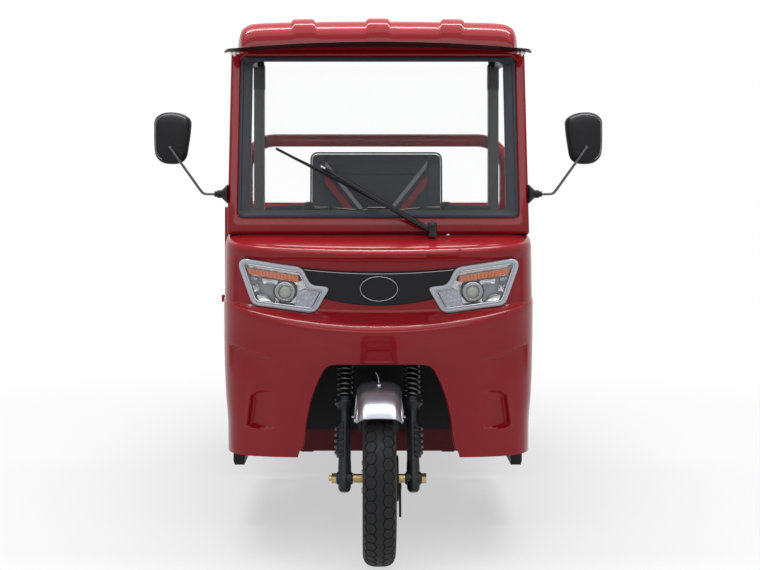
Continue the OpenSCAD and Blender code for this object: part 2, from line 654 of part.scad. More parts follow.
bar_bend = [150, bar_y + 45, bar_z];
bar_end = [bar_reach, bar_y + 148, bar_z];
module handlebar() color("#8c8f94") {
    both_sides() {
        rod(bar_bend, bar_end, 11);
        translate(bar_bend - [0, 0, 13]) cylinder(r = 14, h = 26);
        rod([60, bar_y, bar_z - 8], bar_bend, 10.5);
        translate([60, bar_y, bar_z - 22]) cylinder(r = 14, h = 28);
    }
    translate([0, bar_y, bar_z - 8]) x_rod(-60, 60, 11);
    difference() {
        translate([0, bar_y, bar_z - 8]) x_rod(-34, 34, 19);
        on_steer() translate([0, 0, 700]) cylinder(r = shaft_r + 6 + eps, h = 140 + eps);
    }
}

module grips() color("#121213") both_sides() difference() {
    d = unit(bar_end - bar_bend);
    union() {
        rod(bar_end - 128 * d, bar_end + 4 * d, 17);
        rod(bar_end - 168 * d, bar_end - 128 * d, 21);
        translate(bar_end - 150 * d) block([-20, -12, 0], [20, 24, 27]);
    }
    rod(bar_end - 200 * d, bar_end + eps * d, 11.1);
}

// Front mudguard: section swept round the wheel, wire stays on both sides.
guard_r = wheel_r + 33;
module on_axle() translate([0, 0, axle_z]) rotate([0, 90, 0]) children();
function guard_pt(x, d) = [guard_r - d - 5 * pow(x / 63, 2) - 16 * pow(abs(x) / 63, 7), x];
module front_mudguard() color("#d5d8dc") {
    on_axle() rotate([0, 0, 110]) rotate_extrude(angle = 112)
        polygon(concat([for (x = [-63 : 9 : 63]) guard_pt(x, 0)], [for (x = [63 : -9 : -63]) guard_pt(x, 3)]));
    both_sides() {
        foot = [fork_x - leg_r - 4.2 - eps, 72, axle_z + 163];
        rod(foot, [61, -60, axle_z + 253], 3.5);
        rod(foot, [61, 70, axle_z + 250], 3.5);
        translate(foot) sphere(r = 4.2);
    }
}

module front_axle() color("#b9995a") translate([0, 0, axle_z]) {
    x_rod(-148, 132, axle_r);
    for (x = [-fork_x - leg_r - 14, fork_x + leg_r + 1])
        translate([x, 0, 0]) rotate([0, 90, 0]) cylinder(r = 15, h = 13, $fn = 6);
    x_rod(-fork_x + leg_r + 1, -hub_half - eps, axle_r + 5);
    x_rod(hub_half + 14, fork_x - leg_r - 1, axle_r + 5);
}

module front_brake() color("#3a3b3e") translate([0, 0, axle_z]) difference() {
    union() {
        x_rod(hub_half + 3, hub_half + 12, 66);
        translate([0, 30, -30]) x_rod(hub_half + 3, hub_half + 22, 9);
        along_x(hub_half + 14, hub_half + 21) polygon([[22, -34], [38, -30], [14, -118], [2, -114]]);
    }
    x_rod(0, 100, axle_r + 0.1);
}

// Wheels: revolved about the x axis; the section is drawn as radius against width.
bead_x = tyre_w * 0.37;
function tyre_pt(a) = let (c = cos(a), s = sin(a), m = (wheel_r + rim_r) / 2 + 4, h = wheel_r - m)
    [m + sign(s) * h * pow(abs(s), 0.75), tyre_w / 2 * sign(c) * pow(abs(c), 0.62)];
module tyre() rotate([0, 90, 0]) rotate_extrude($fn = 96)
    polygon(concat([[rim_r + eps, bead_x], [rim_r + eps, bead_x + 2.4], [rim_r + 9, bead_x + 2.4]],
        [for (a = [-40 : 13 : 220]) tyre_pt(a)],
        [[rim_r + 9, -bead_x - 2.4], [rim_r + eps, -bead_x - 2.4], [rim_r + eps, -bead_x]]));

module rim_section(hub_r, half) {
    translate([rim_r - 8, -bead_x - 6]) square([8, 2 * bead_x + 12]);
    for (s = [-1, 1])
        translate([rim_r - 8, s * (bead_x + 4.5) - 1.5]) square([15, 3]);
    translate([hub_r - 4, -4]) square([rim_r - hub_r, 8]);
    translate([0, -half]) square([hub_r, 2 * half]);
}
module rim_body(hub_r, half, bore) difference() {
    rotate([0, 90, 0]) rotate_extrude($fn = 96) rim_section(hub_r, half);
    x_rod(-100, 100, bore);
    for (i = [0 : 7])
        rotate([i * 45, 0, 0]) translate([0, 0, (rim_r + hub_r) / 2 - 2]) x_rod(-20, 20, 15);
}

module front_rim() color("#9b9ea3") translate([0, 0, axle_z]) rim_body(62, hub_half, axle_r + run);
module front_tyre() color("#151515") translate([0, 0, axle_z]) tyre();
module rear_rim(s) translate([s * rear_x, wheelbase, axle_z]) rim_body(66, 44, stub_r + run);
module rear_rim_left() color("#9b9ea3") rear_rim(1);
module rear_rim_right() color("#9b9ea3") rear_rim(-1);
module rear_tyre_left() color("#151515") translate([rear_x, wheelbase, axle_z]) tyre();
module rear_tyre_right() color("#151515") translate([-rear_x, wheelbase, axle_z]) tyre();

// The middle of the length lies on the origin.
module placed() translate([0, -mid_y, 0]) children();

placed() frame_rails();
placed() cross_members();
placed() steering_head();
placed() floor_pan();
placed() side_sills();
placed() front_fascia();
placed() grille_panel();
placed() headlamps();
placed() lamp_projectors();
placed() lamp_indicators();
placed() lamp_covers();
placed() windscreen_frame();
placed() windscreen_seal();
placed() windscreen_glass();
placed() wiper();
placed() mirrors();
placed() roof();
placed() sun_visor();
placed() cab_posts();
placed() dashboard();
placed() leg_shield();
placed() brake_pedal();
placed() seat_base();
placed() seat_cushion();
placed() seat_back();
placed() battery_box();
placed() bed_floor();
placed() bed_front();
placed() bed_sides();
placed() guard_hoop();
placed() gate_hinges();
placed() leaf_springs();
placed() rear_axle();
placed() mud_flaps();
placed() tail_lamps();
placed() rear_bumper();
placed() fork_legs();
placed() fork_springs();
placed() steering_stem();
placed() handlebar();
placed() grips();
placed() front_mudguard();
placed() front_axle();
placed() front_brake();
placed() front_rim();
placed() front_tyre();
placed() rear_rim_left();
placed() rear_tyre_left();
placed() rear_rim_right();
placed() rear_tyre_right();
placed() tailgate();
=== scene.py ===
import bpy
import bmesh
import json
import math
import numpy as np
from mathutils import Matrix, Vector

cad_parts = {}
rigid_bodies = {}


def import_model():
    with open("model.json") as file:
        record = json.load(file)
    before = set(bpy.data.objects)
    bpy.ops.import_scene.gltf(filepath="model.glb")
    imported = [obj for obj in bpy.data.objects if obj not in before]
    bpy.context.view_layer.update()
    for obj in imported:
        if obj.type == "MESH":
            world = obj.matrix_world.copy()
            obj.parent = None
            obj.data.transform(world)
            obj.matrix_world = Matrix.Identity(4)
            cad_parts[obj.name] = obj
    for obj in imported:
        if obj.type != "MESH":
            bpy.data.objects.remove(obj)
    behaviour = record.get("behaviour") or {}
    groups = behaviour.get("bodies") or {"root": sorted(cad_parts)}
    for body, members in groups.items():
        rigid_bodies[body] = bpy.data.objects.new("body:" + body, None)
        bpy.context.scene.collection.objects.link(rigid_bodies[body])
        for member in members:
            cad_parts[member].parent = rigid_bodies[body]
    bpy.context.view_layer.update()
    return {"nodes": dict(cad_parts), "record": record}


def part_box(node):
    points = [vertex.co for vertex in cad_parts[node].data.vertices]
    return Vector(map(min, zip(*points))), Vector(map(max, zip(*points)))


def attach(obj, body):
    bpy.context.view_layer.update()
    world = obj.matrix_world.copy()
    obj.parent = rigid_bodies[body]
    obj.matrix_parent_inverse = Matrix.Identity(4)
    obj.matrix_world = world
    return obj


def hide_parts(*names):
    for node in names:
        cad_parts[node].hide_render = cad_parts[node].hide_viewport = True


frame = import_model()
nodes = frame["nodes"]
scene = bpy.context.scene
joints = {j["name"]: j for j in frame["record"]["behaviour"]["joints"]}
axleY = joints["front_wheel_spin"]["pos_m"][1]      # the drawing is in mm, y counted back from the front axle
print("frame loaded:", len(nodes), "nodes")


def at(x, y, z):
    return (x / 1000, axleY + y / 1000, z / 1000)


def between(low, high, v):
    t = np.clip((np.asarray(v, dtype=float) - low) / (high - low), 0, 1)
    return t * t * (3 - 2 * t)


# a shader socket that takes arithmetic; make() adds any other node
class Wire:
    def __init__(self, tree, socket=None):
        self.tree = tree
        self.socket = socket

    def make(self, kind, settings=None, values=None, out=0):
        node = self.tree.nodes.new(kind)
        for key, value in (settings or {}).items():
            if key == "stops":
                ramp = node.color_ramp.elements
                while len(ramp) < len(value):
                    ramp.new(0.5)
                for element, (place, color) in zip(ramp, value):
                    element.position = place
                    element.color = (*color, 1)
            else:
                setattr(node, key, value)
        for key, value in (values or {}).items():
            if isinstance(value, Wire):
                self.tree.links.new(value.socket, node.inputs[key])
            else:
                node.inputs[key].default_value = value
        return Wire(self.tree, node.outputs[out])

    def maths(self, operation, *values):
        return self.make("ShaderNodeMath", {"operation": operation}, dict(enumerate(values)))

    def mixColor(self, factor, first, second):
        return self.make("ShaderNodeMix", {"data_type": "RGBA"}, {0: factor, 6: first, 7: second}, 2)

    def feed(self, socket):
        self.tree.links.new(self.socket, socket)

    def __add__(self, other): return self.maths("ADD", self, other)
    def __radd__(self, other): return self.maths("ADD", other, self)
    def __sub__(self, other): return self.maths("SUBTRACT", self, other)
    def __rsub__(self, other): return self.maths("SUBTRACT", other, self)
    def __mul__(self, other): return self.maths("MULTIPLY", self, other)
    def __rmul__(self, other): return self.maths("MULTIPLY", other, self)
    def __lt__(self, other): return self.maths("LESS_THAN", self, other)
    def __gt__(self, other): return self.maths("GREATER_THAN", self, other)
    def __abs__(self): return self.maths("ABSOLUTE", self)


looks = {}
slotOf = {}


# base finish: colour drifts a little, roughness is patchy, fine bump; grain = scale, tint, rough, bump
def newLook(name, slot, color, rough, metal, coat, shine, grain, stretch=(1, 1, 1)):
    mat = bpy.data.materials.new(name)
    mat.use_nodes = True
    shader = mat.node_tree.nodes["Principled BSDF"]
    fixed = {"Metallic": metal, "Coat Weight": coat, "Coat Roughness": 0.04, "Specular IOR Level": shine}
    for key, value in fixed.items():
        shader.inputs[key].default_value = value
    wire = Wire(mat.node_tree)
    place = wire.make("ShaderNodeTexCoord", out=3)
    place = wire.make("ShaderNodeMapping", None, {"Vector": place, "Scale": stretch})
    scale, tint, spread, bump = grain
    slow = wire.make("ShaderNodeTexNoise", None, {"Vector": place, "Scale": scale * 0.12, "Detail": 4.0})
    fine = wire.make("ShaderNodeTexNoise", None, {"Vector": place, "Scale": scale, "Detail": 3.0})
    dark = tuple(c * (1 - tint) for c in color) + (1,)
    light = tuple(min(1, c * (1 + tint)) for c in color) + (1,)
    wire.mixColor(slow, dark, light).feed(shader.inputs["Base Color"])
    (rough - spread / 2 + slow * spread * 0.5 + fine * spread * 0.5).feed(shader.inputs["Roughness"])
    relief = wire.make("ShaderNodeBump", None, {"Strength": bump, "Distance": 0.002, "Height": fine})
    relief.feed(shader.inputs["Normal"])
    mat.diffuse_color = (*color, 1)
    looks[name], slotOf[name] = mat, slot
    return shader, wire, place


# body red, a darker copy of it that is painted shade for parts sitting low or under others, and the visor's tint
paint = {"red": (0.29, 0.004, 0.011), "shade": (0.12, 0.006, 0.010), "visor": (0.034, 0.008, 0.011)}
# slot, colour, roughness, metal, coat, shine, grain and its stretch
finishes = {
    "RedPaint": ("red_paint", paint["red"], 0.3, 0, 0.46, 0.06, (260, 0.06, 0.1, 0.012)),
    # the body red made darker: painted shade, not a paint of its own
    "RedUnderPaint": ("red_paint", paint["shade"], 0.45, 0, 0.1, 0.12, (140, 0.18, 0.2, 0.05)),
    "VisorPlastic": ("dark_trim", paint["visor"], 0.42, 0, 0.04, 0.1, (90, 0.15, 0.1, 0.02)),
    "FrameBlack": ("frame_black", (0.012, 0.012, 0.014), 0.42, 0, 0, 0.18, (180, 0.3, 0.2, 0.08)),
    "BlackPlastic": ("black_plastic", (0.016, 0.016, 0.018), 0.5, 0, 0, 0.18, (700, 0.2, 0.15, 0.18)),
    "GlossBlack": ("black_plastic", (0.012, 0.013, 0.015), 0.2, 0, 0.3, 0.18, (120, 0.2, 0.1, 0.02)),
    "GrillePlastic": ("black_plastic", (0.013, 0.013, 0.0155), 0.42, 0, 0, 0.18, (900, 0.15, 0.12, 0.12)),
    "BlackRubber": ("rubber", (0.017, 0.018, 0.02), 0.6, 0, 0, 0.18, (400, 0.2, 0.15, 0.12)),
    "ScreenBorder": ("rubber", (0.05, 0.056, 0.068), 0.35, 0, 0, 0.18, (120, 0.15, 0.15, 0.03)),
    "LampShell": ("lamp_clear", (0.52, 0.56, 0.64), 0.22, 0, 0.6, 0.5, (200, 0.06, 0.1, 0.02)),
    "LampBack": ("bright_chrome", (0.21, 0.22, 0.235), 0.34, 0.6, 0, 0.5, (90, 0.2, 0.12, 0.2)),
    "LampReflector": ("bright_chrome", (0.5, 0.51, 0.53), 0.16, 1, 0, 0.5, (55, 0.25, 0.15, 0.9)),
    "LampAmber": ("lamp_amber", (0.74, 0.175, 0.022), 0.28, 0, 0.25, 0.5, (300, 0.18, 0.15, 0.4), (3, 1, 0.3)),
    "LampEye": ("bright_chrome", (0.42, 0.45, 0.36), 0.08, 0, 1, 0.5, (40, 0.2, 0.05, 0.02)),
    "LampRed": ("lamp_red", (0.45, 0.01, 0.016), 0.2, 0, 0.6, 0.5, (350, 0.15, 0.1, 0.4), (1, 1, 0.2)),
    "PostGrey": ("post_grey", (0.068, 0.071, 0.076), 0.42, 0, 0, 0.18, (160, 0.15, 0.15, 0.04)),
    "Chrome": ("bright_chrome", (0.44, 0.455, 0.485), 0.17, 1, 0, 0.5, (90, 0.05, 0.1, 0.02)),
    "GuardChrome": ("bright_chrome", (0.235, 0.25, 0.285), 0.21, 0.7, 0, 0.5, (26, 0.18, 0.16, 0.1)),
    "TrimLine": ("bright_chrome", (0.34, 0.345, 0.35), 0.3, 1, 0, 0.5, (200, 0.08, 0.1, 0.02)),
    "ForkPaint": ("frame_black", (0.013, 0.0155, 0.02), 0.36, 0, 0, 0.3, (150, 0.25, 0.2, 0.06)),
    "SpringSteel": ("frame_black", (0.1, 0.1, 0.105), 0.3, 0.9, 0, 0.5, (220, 0.2, 0.2, 0.05)),
    "BrightLine": ("bright_chrome", (0.7, 0.71, 0.73), 0.2, 1, 0, 0.5, (200, 0.08, 0.1, 0.02)),
    "MirrorFace": ("bright_chrome", (0.86, 0.88, 0.9), 0.03, 1, 0, 0.5, (30, 0.02, 0.03, 0.004)),
    "PlatedGold": ("plated_steel", (0.44, 0.33, 0.15), 0.3, 1, 0, 0.5, (150, 0.2, 0.2, 0.05)),
    "ZincBolt": ("plated_steel", (0.55, 0.55, 0.54), 0.35, 1, 0, 0.5, (200, 0.15, 0.2, 0.05)),
    "WheelSilver": ("wheel_silver", (0.48, 0.49, 0.51), 0.34, 0.85, 0, 0.5, (240, 0.08, 0.15, 0.03)),
    "TyreRubber": ("tyre", (0.013, 0.0133, 0.0145), 0.62, 0, 0, 0.18, (420, 0.3, 0.2, 0.15)),
    "TyreTread": ("tyre", (0.019, 0.0195, 0.021), 0.58, 0, 0, 0.18, (300, 0.3, 0.2, 0.12)),
    "DashScreen": ("black_plastic", (0.01, 0.014, 0.016), 0.08, 0, 0.8, 0.5, (60, 0.3, 0.05, 0.01))}
for name, values in finishes.items():
    newLook(name, *values)


# frosted lens: pale cells parted by darker lines
def frostLook():
    color, grain = (0.50, 0.56, 0.66), (160, 0.12, 0.2, 0.25)
    shader, wire, place = newLook("LampFrost", "lamp_clear", color, 0.34, 0, 0.4, 0.5, grain)
    cells = wire.make("ShaderNodeTexVoronoi", {"feature": "DISTANCE_TO_EDGE"}, {"Vector": place, "Scale": 95.0})
    shown = wire.make("ShaderNodeMapRange", None, {"Value": cells, "From Min": 0.02, "From Max": 0.22})
    wire.mixColor(shown, (0.38, 0.42, 0.50, 1), (0.54, 0.60, 0.69, 1)).feed(shader.inputs["Base Color"])


frostLook()


# clear panes: nearly all alpha, with faint smears that catch the light
def clearLook(name, slot, color, alpha):
    shader, wire, place = newLook(name, slot, color, 0.05, 0, 0, 0.5, (12, 0.04, 0.06, 0.0))
    smear = wire.make("ShaderNodeTexNoise", None, {"Vector": place, "Scale": 3.0, "Detail": 5.0})
    (alpha + smear * alpha * 0.6).feed(shader.inputs["Alpha"])
    looks[name].diffuse_color = (*color, alpha)


clearLook("ScreenGlass", "glass", (0.80, 0.87, 0.90), 0.022)
clearLook("LampCover", "lamp_glass", (0.86, 0.90, 0.95), 0.045)

# seat cover: woven vinyl with two plain chevrons sewn across the back
seatPrint = {"tip": 0.90, "slope": 1.25, "wide": 0.018, "gap": 0.055, "low": 0.80, "half": 0.19, "weave": 2400,
             "red": (0.33, 0.045, 0.06), "silver": (0.36, 0.40, 0.43)}
backLine = {"foot": 0.752, "lean": 0.116, "y": 0.982}      # plane through the middle of the seat back


def seatLook():
    color = (0.040, 0.050, 0.062)
    shader, wire, place = newLook("SeatCover", "seat_fabric", color, 0.58, 0, 0, 0.15, (300, 0.15, 0.2, 0.1))
    pitch = seatPrint["weave"]
    axes = wire.tree.nodes.new("ShaderNodeSeparateXYZ")
    place.feed(axes.inputs[0])
    x, y, z = (Wire(wire.tree, axes.outputs[i]) for i in range(3))
    weave = wire.maths("SINE", (x + z) * pitch) * wire.maths("SINE", (x - z + y) * pitch)
    threads = wire.make("ShaderNodeBump", None, {"Strength": 0.12, "Distance": 0.001, "Height": weave})
    threads.feed(shader.inputs["Normal"])
    rise = z - seatPrint["tip"] - abs(x) * seatPrint["slope"]
    lower = abs(rise) < seatPrint["wide"]
    upper = abs(rise - seatPrint["gap"]) < seatPrint["wide"] * 0.6
    front = y - (z - backLine["foot"]) * backLine["lean"] < axleY + backLine["y"]
    above = (z > seatPrint["low"]) * (abs(x) < seatPrint["half"]) * front
    slow = wire.make("ShaderNodeTexNoise", None, {"Vector": place, "Scale": 30.0, "Detail": 4.0})
    dark, light = (tuple(c * k for c in color) + (1,) for k in (0.85, 1.15))
    base = wire.mixColor(slow, dark, light)
    red = wire.mixColor(lower * above, base, (*seatPrint["red"], 1))
    wire.mixColor(upper * above, red, (*seatPrint["silver"], 1)).feed(shader.inputs["Base Color"])


seatLook()
lookFor = {
    "red_paint": "RedPaint", "dark_trim": "VisorPlastic", "frame_black": "FrameBlack", "black_plastic": "BlackPlastic",
    "rubber": "BlackRubber", "lamp_clear": "LampShell", "glass": "ScreenGlass", "post_grey": "PostGrey",
    "seat_fabric": "SeatCover", "lamp_red": "LampRed", "bright_chrome": "Chrome", "plated_steel": "PlatedGold",
    "wheel_silver": "WheelSilver", "tyre": "TyreRubber", "lamp_amber": "LampAmber", "lamp_glass": "LampCover"}
# the bed floor, floor pan and seat base take the darker red copy, painted shade
lookByNode = {"handlebar": "GlossBlack", "windscreen_seal": "ScreenBorder", "bed_floor": "RedUnderPaint",
              "floor_pan": "RedUnderPaint", "seat_base": "RedUnderPaint"}
for part in frame["record"]["subparts"]:
    cad = nodes[part["node"]]
    look = lookByNode.get(part["node"], lookFor[part["material_slot"]])
    for place in cad.material_slots:
        place.material = looks[look]
print("finishes made:", len(looks))


# a mesh gathered from plain forms, in mm, then made one piece
class Shape:
    def __init__(self):
        self.verts, self.faces = [], []

    def add(self, verts, faces):
        base = len(self.verts)
        self.verts += [tuple(v) for v in verts]
        self.faces += [tuple(base + i for i in face) for face in faces]
        return self

    def grid(self, rows, wrap=False, caps=False, loop=False):
        n, m = len(rows[0]), len(rows)
        faces = []
        for i in range(m if loop else m - 1):
            for j in range(n if wrap else n - 1):
                k, d = (j + 1) % n, (i + 1) % m
                faces.append((i * n + j, i * n + k, d * n + k, d * n + j))
        if caps:
            faces += [tuple(range(n))[::-1], tuple(range((m - 1) * n, m * n))]
        return self.add([p for row in rows for p in row], faces)

    # a solid through a stack of loops
    def stack(self, loops):
        return self.grid(loops, wrap=True, caps=True)

    # a ring through loops, the last joined to the first
    def hoop(self, loops):
        return self.grid(loops, wrap=True, loop=True)

    # a panel's outer and inner skin, joined along all four edges
    def shell(self, outer, inner):
        m, n = outer.shape[:2]
        self.grid(outer.tolist() + inner[::-1].tolist(), loop=True)
        for j in (0, n - 1):
            self.faces += [(i * n + j, (i + 1) * n + j, (2 * m - 2 - i) * n + j, (2 * m - 1 - i) * n + j)
                           for i in range(m - 1)]
        return self

    def tube(self, path, radius, sides, closed=False, flat=1.0):
        pts = [Vector(p) for p in path]
        n = len(pts)
        rows, side = [], None
        for i, p in enumerate(pts):
            ahead = pts[(i + 1) % n] if closed or i < n - 1 else p
            behind = pts[i - 1] if closed or i > 0 else p
            way = (ahead - behind).normalized()
            if side is None:
                side = way.cross((0, 0, 1) if abs(way.z) < 0.9 else (0, 1, 0))
            side = (side - way * side.dot(way)).normalized()
            up = side.cross(way)
            r = radius[i] if isinstance(radius, (list, tuple)) else radius
            rows.append([p + side * r * flat * math.cos(a) + up * r * math.sin(a)
                         for a in (math.tau * k / sides for k in range(sides))])
        return self.grid(rows, wrap=True, caps=not closed, loop=closed)

    def spun(self, profile, centre, axis, segs):
        rows = []
        for k in range(segs):
            c, s = math.cos(math.tau * k / segs), math.sin(math.tau * k / segs)
            turn = {"x": lambda r, h: (h, r * c, r * s), "y": lambda r, h: (r * c, h, r * s),
                    "z": lambda r, h: (r * c, r * s, h)}[axis]
            rows.append([Vector(centre) + Vector(turn(r, h)) for r, h in profile])
        return self.hoop(rows)

    def block(self, low, high):
        (a, b, c), (d, e, f) = low, high
        verts = [(a, b, c), (d, b, c), (d, e, c), (a, e, c), (a, b, f), (d, b, f), (d, e, f), (a, e, f)]
        return self.add(verts, [(3, 2, 1, 0), (4, 5, 6, 7), (0, 1, 5, 4), (1, 2, 6, 5), (2, 3, 7, 6), (3, 0, 4, 7)])

    # a block on the given side, from its span along each axis
    def sideBlock(self, sign, x, y, z):
        low, high = sorted((sign * x[0], sign * x[1]))
        return self.block((low, y[0], z[0]), (high, y[1], z[1]))

    def prism(self, outline, low, high, axis="y"):
        turn = {"x": lambda u, v, h: (h, u, v), "y": lambda u, v, h: (u, h, v), "z": lambda u, v, h: (u, v, h)}[axis]
        return self.stack([[turn(u, v, h) for u, v in outline] for h in (low, high)])

    def mesh(self, name):
        data = bpy.data.meshes.new(name)
        data.from_pydata([at(*v) for v in self.verts], [], self.faces)
        tidyMesh(data)
        return data

    def piece(self, name, look, body="vehicle", stands=(), bevel=0, sharp=40):
        obj = loose(self, name)
        if bevel:
            mod = obj.modifiers.new("Bevel", "BEVEL")
            mod.width, mod.segments = bevel / 1000, 2
            mod.limit_method, mod.angle_limit = "ANGLE", math.radians(38)
            settle(obj)
        finishPiece(obj, look, body, stands, sharp)


def tidyMesh(data):
    bm = bmesh.new()
    bm.from_mesh(data)
    bmesh.ops.remove_doubles(bm, verts=bm.verts, dist=1e-6)
    bmesh.ops.recalc_face_normals(bm, faces=bm.faces)
    bm.to_mesh(data)
    bm.free()


def settle(obj):
    data = bpy.data.meshes.new_from_object(obj.evaluated_get(bpy.context.evaluated_depsgraph_get()))
    obj.modifiers.clear()
    obj.data = data


def finishPiece(obj, look, body="vehicle", stands=(), sharp=40):
    obj.data.materials.clear()
    obj.data.materials.append(looks[look])
    obj.data.shade_smooth()
    obj.data.set_sharp_from_angle(angle=math.radians(sharp))
    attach(obj, body)
    if stands:
        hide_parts(*stands)


def cut(obj, *tools):
    for tool in tools:
        mod = obj.modifiers.new("Cut", "BOOLEAN")
        mod.operation, mod.solver, mod.object = "DIFFERENCE", "MANIFOLD", tool
    settle(obj)
    for tool in tools:
        bpy.data.objects.remove(tool)


def linked(name, data):
    obj = bpy.data.objects.new(name, data)
    scene.collection.objects.link(obj)
    return obj


def loose(shape, name):
    return linked(name, shape.mesh(name))


# the left piece of a pair stands for the node that holds both
def once(sign, node):
    return [node] if sign > 0 else ()


# sample places: first, last and count of each stretch
def spans(*stretches):
    return np.concatenate([np.linspace(*stretch) for stretch in stretches])


# the point at share t of the way from p to q
def partWay(p, q, t):
    return [a + (b - a) * t for a, b in zip(p, q)]


# 1 between full and fade, with soft ends
def window(v, start, full, fade, end):
    return between(start, full, v) * (1 - between(fade, end, v))


# how far a circle has fallen away at x from its top
def fallOf(radius, x):
    return radius - math.sqrt(radius ** 2 - x * x)


# moves an outline's sides out by d; points run anticlockwise
def outset(points, d):
    pts = [Vector(p) for p in points]
    moved = []
    for i, p in enumerate(pts):
        e = (p - pts[i - 1]).normalized()
        f = (pts[(i + 1) % len(pts)] - p).normalized()
        a, b = Vector((e.y, -e.x)), Vector((f.y, -f.x))
        moved.append(p + (a + b) * d / (1 + a.dot(b)))
    return moved


def filleted(points, r, steps=4):
    pts = [Vector(p) for p in points]
    out = []
    for i, p in enumerate(pts):
        a, b = pts[i - 1] - p, pts[(i + 1) % len(pts)] - p
        u = p + a.normalized() * min(r, a.length * 0.45)
        v = p + b.normalized() * min(r, b.length * 0.45)
        for k in range(steps + 1):
            t = k / steps
            out.append(u * (1 - t) ** 2 + p * 2 * t * (1 - t) + v * t * t)
    return out


def spline(points, steps, closed=False):
    pts = [Vector(p) for p in points]
    n = len(pts)
    out = []
    for i in range(n if closed else n - 1):
        a = pts[i - 1] if closed or i > 0 else pts[0]
        b, c = pts[i], pts[(i + 1) % n]
        d = pts[(i + 2) % n] if closed or i < n - 2 else pts[-1]
        for k in range(steps):
            t = k / steps
            bend = (2 * a - 5 * b + 4 * c - d) * t * t + (3 * b - a - 3 * c + d) * t ** 3
            out.append(0.5 * (2 * b + (c - a) * t + bend))
    return out if closed else out + [pts[-1]]


# smooth curve through a table that never overshoots it
def smoothTable(xs, ys):
    xs, ys = np.array(xs, float), np.array(ys, float)
    h, d = np.diff(xs), np.diff(ys) / np.diff(xs)
    m = np.zeros(len(xs))
    m[0], m[-1] = d[0], d[-1]
    for i in range(1, len(xs) - 1):
        if d[i - 1] * d[i] > 0:
            a, b = 2 * h[i] + h[i - 1], h[i] + 2 * h[i - 1]
            m[i] = (a + b) / (a / d[i - 1] + b / d[i])

    def read(x):
        x = np.clip(x, xs[0], xs[-1])
        i = np.clip(np.searchsorted(xs, x) - 1, 0, len(h) - 1)
        t = (x - xs[i]) / h[i]
        return ((2 * t ** 3 - 3 * t ** 2 + 1) * ys[i] + (t ** 3 - 2 * t ** 2 + t) * h[i] * m[i]
                + (3 * t ** 2 - 2 * t ** 3) * ys[i + 1] + (t ** 3 - t ** 2) * h[i] * m[i + 1])
    return read


# front body: rows of height, rise at the corner, half width, nose place and sweep of the corner;
# each pressed form has a depth and the ranges over which it fades in and out
frontBody = {
    "width": 958, "rear": 420, "wall": 12, "corner": 7, "bonnet": (885, 900),
    "rows": [[300, 0, -13, 48, 22], [380, 0, -12, 40, 30], [470, 4, -5, 26, 44], [560, 14, -1, 4, 64],
             [630, 36, 0, -28, 92], [664, 58, 0, -53, 111], [681, 66, 0, -62, 118], [690, 66, 0, -59, 116],
             [722, 42, -1, -16, 84], [742, 26, -2, 9, 62], [884, 8, -3, 16, 66], [896, 8, -3, -8, 88],
             [908, 9, -3, -14, 92], [922, 10, -4, -2, 84], [940, 8, -5, 90, 40], [958, 0, -7, 205, 8]],
    "heights": [(300, 372, 10), (375, 512, 46), (515, 646, 44), (649, 750, 34), (760, 880, 12), (884, 958, 30)],
    "across": [(0, 0.11, 22), (0.12, 0.57, 38), (0.575, 0.85, 54), (0.86, 0.95, 16)],
    "arch": [(248, 285), (224, 348), (217, 418), (202, 484), (179, 543), (153, 588)], "archRound": 26, "rollFoot": 320,
    "hook": [(306, 506), (358, 503), (384, 486), (397, 394), (388, 384), (296, 381)],
    "hookDeep": 19, "hookWall": 13, "hookX": (292, 392), "hem": 4, "hemWide": 8, "hemX": (292, 330),
    "crease": [(296, 594), (438, 632)], "creaseDeep": 17, "creaseZ": (0, 7, 9, 105), "creaseX": (290, 400, 436, 452),
    "plate": [(-44, 592), (44, 592), (36, 630), (-36, 630)], "plateDeep": 3.5, "plateWall": 3,
    "pad": 7, "padX": (136, 148, 232, 246), "padZ": (898, 908, 944, 952),
    "lampLip": 10, "lipX": (424, 436), "lipZ": (745, 775, 886, 902)}
lampOutline = [(142, 811), (164, 774), (182, 740), (200, 732), (378, 752), (420, 868), (418, 884), (402, 893),
               (227, 869), (202, 817)]
# lamps lie on a slab bowed across the front; steps give an inset, share or change of radius, and a depth
lampSet = {
    "bow": 1300, "corner": 17, "bodyGap": 0.8, "panelGap": 0.6, "eye": (279, 795), "eyeR": 30, "lensR": 19, "ribs": 14,
    "bezel": [(0.6, 40), (0.6, 5), (1.2, 2.6), (3, 0.8), (6, 0.2), (9, 0.6), (10.6, 2), (11.4, 3.6), (12.2, 2.6),
              (13.4, 2.6), (14, 4.6), (14.4, 12), (14.4, 40)],
    "dish": [(14.6, 9), (15.6, 18), (17.5, 25), (20, 27)], "rim": [(15.6, 5.4)], "cover": [(14.6, 6.4), (14.6, 4.4)],
    "ring": [(0, 24), (0, 11), (-1.5, 8.5), (-3, 8), (-4.5, 9.5), (-5, 13), (-6.5, 13), (-7, 9.5), (-9, 8.5),
             (-10.5, 10), (-11, 24)],
    "amber": [(239, 823), (389, 845), (394, 864), (240, 842)],
    "wing": [(172, 800), (184, 777), (199, 750), (210, 748), (250, 753), (240, 796), (222, 804)],
    "wingSteps": [(0, 24), (0, 12), (1.5, 9.5)],
    "back": [(310, 762), (366, 764), (390, 840), (298, 834), (298, 812), (316, 800)],
    "backSteps": [(0, 26.6), (0, 25.4), (1, 24.8)],
    "facets": [[(359, 822), (381, 826), (385, 839), (361, 836)], [(353, 795), (373, 791), (379, 815), (358, 818)],
               [(314, 763), (361, 766), (368, 785), (345, 791), (328, 781)],
               [(300, 814), (349, 817), (352, 835), (302, 831)]],
    "facetSteps": [(1, 25), (1, 14), (0.86, 11), (0.72, 12.5), (0.3, 19)]}
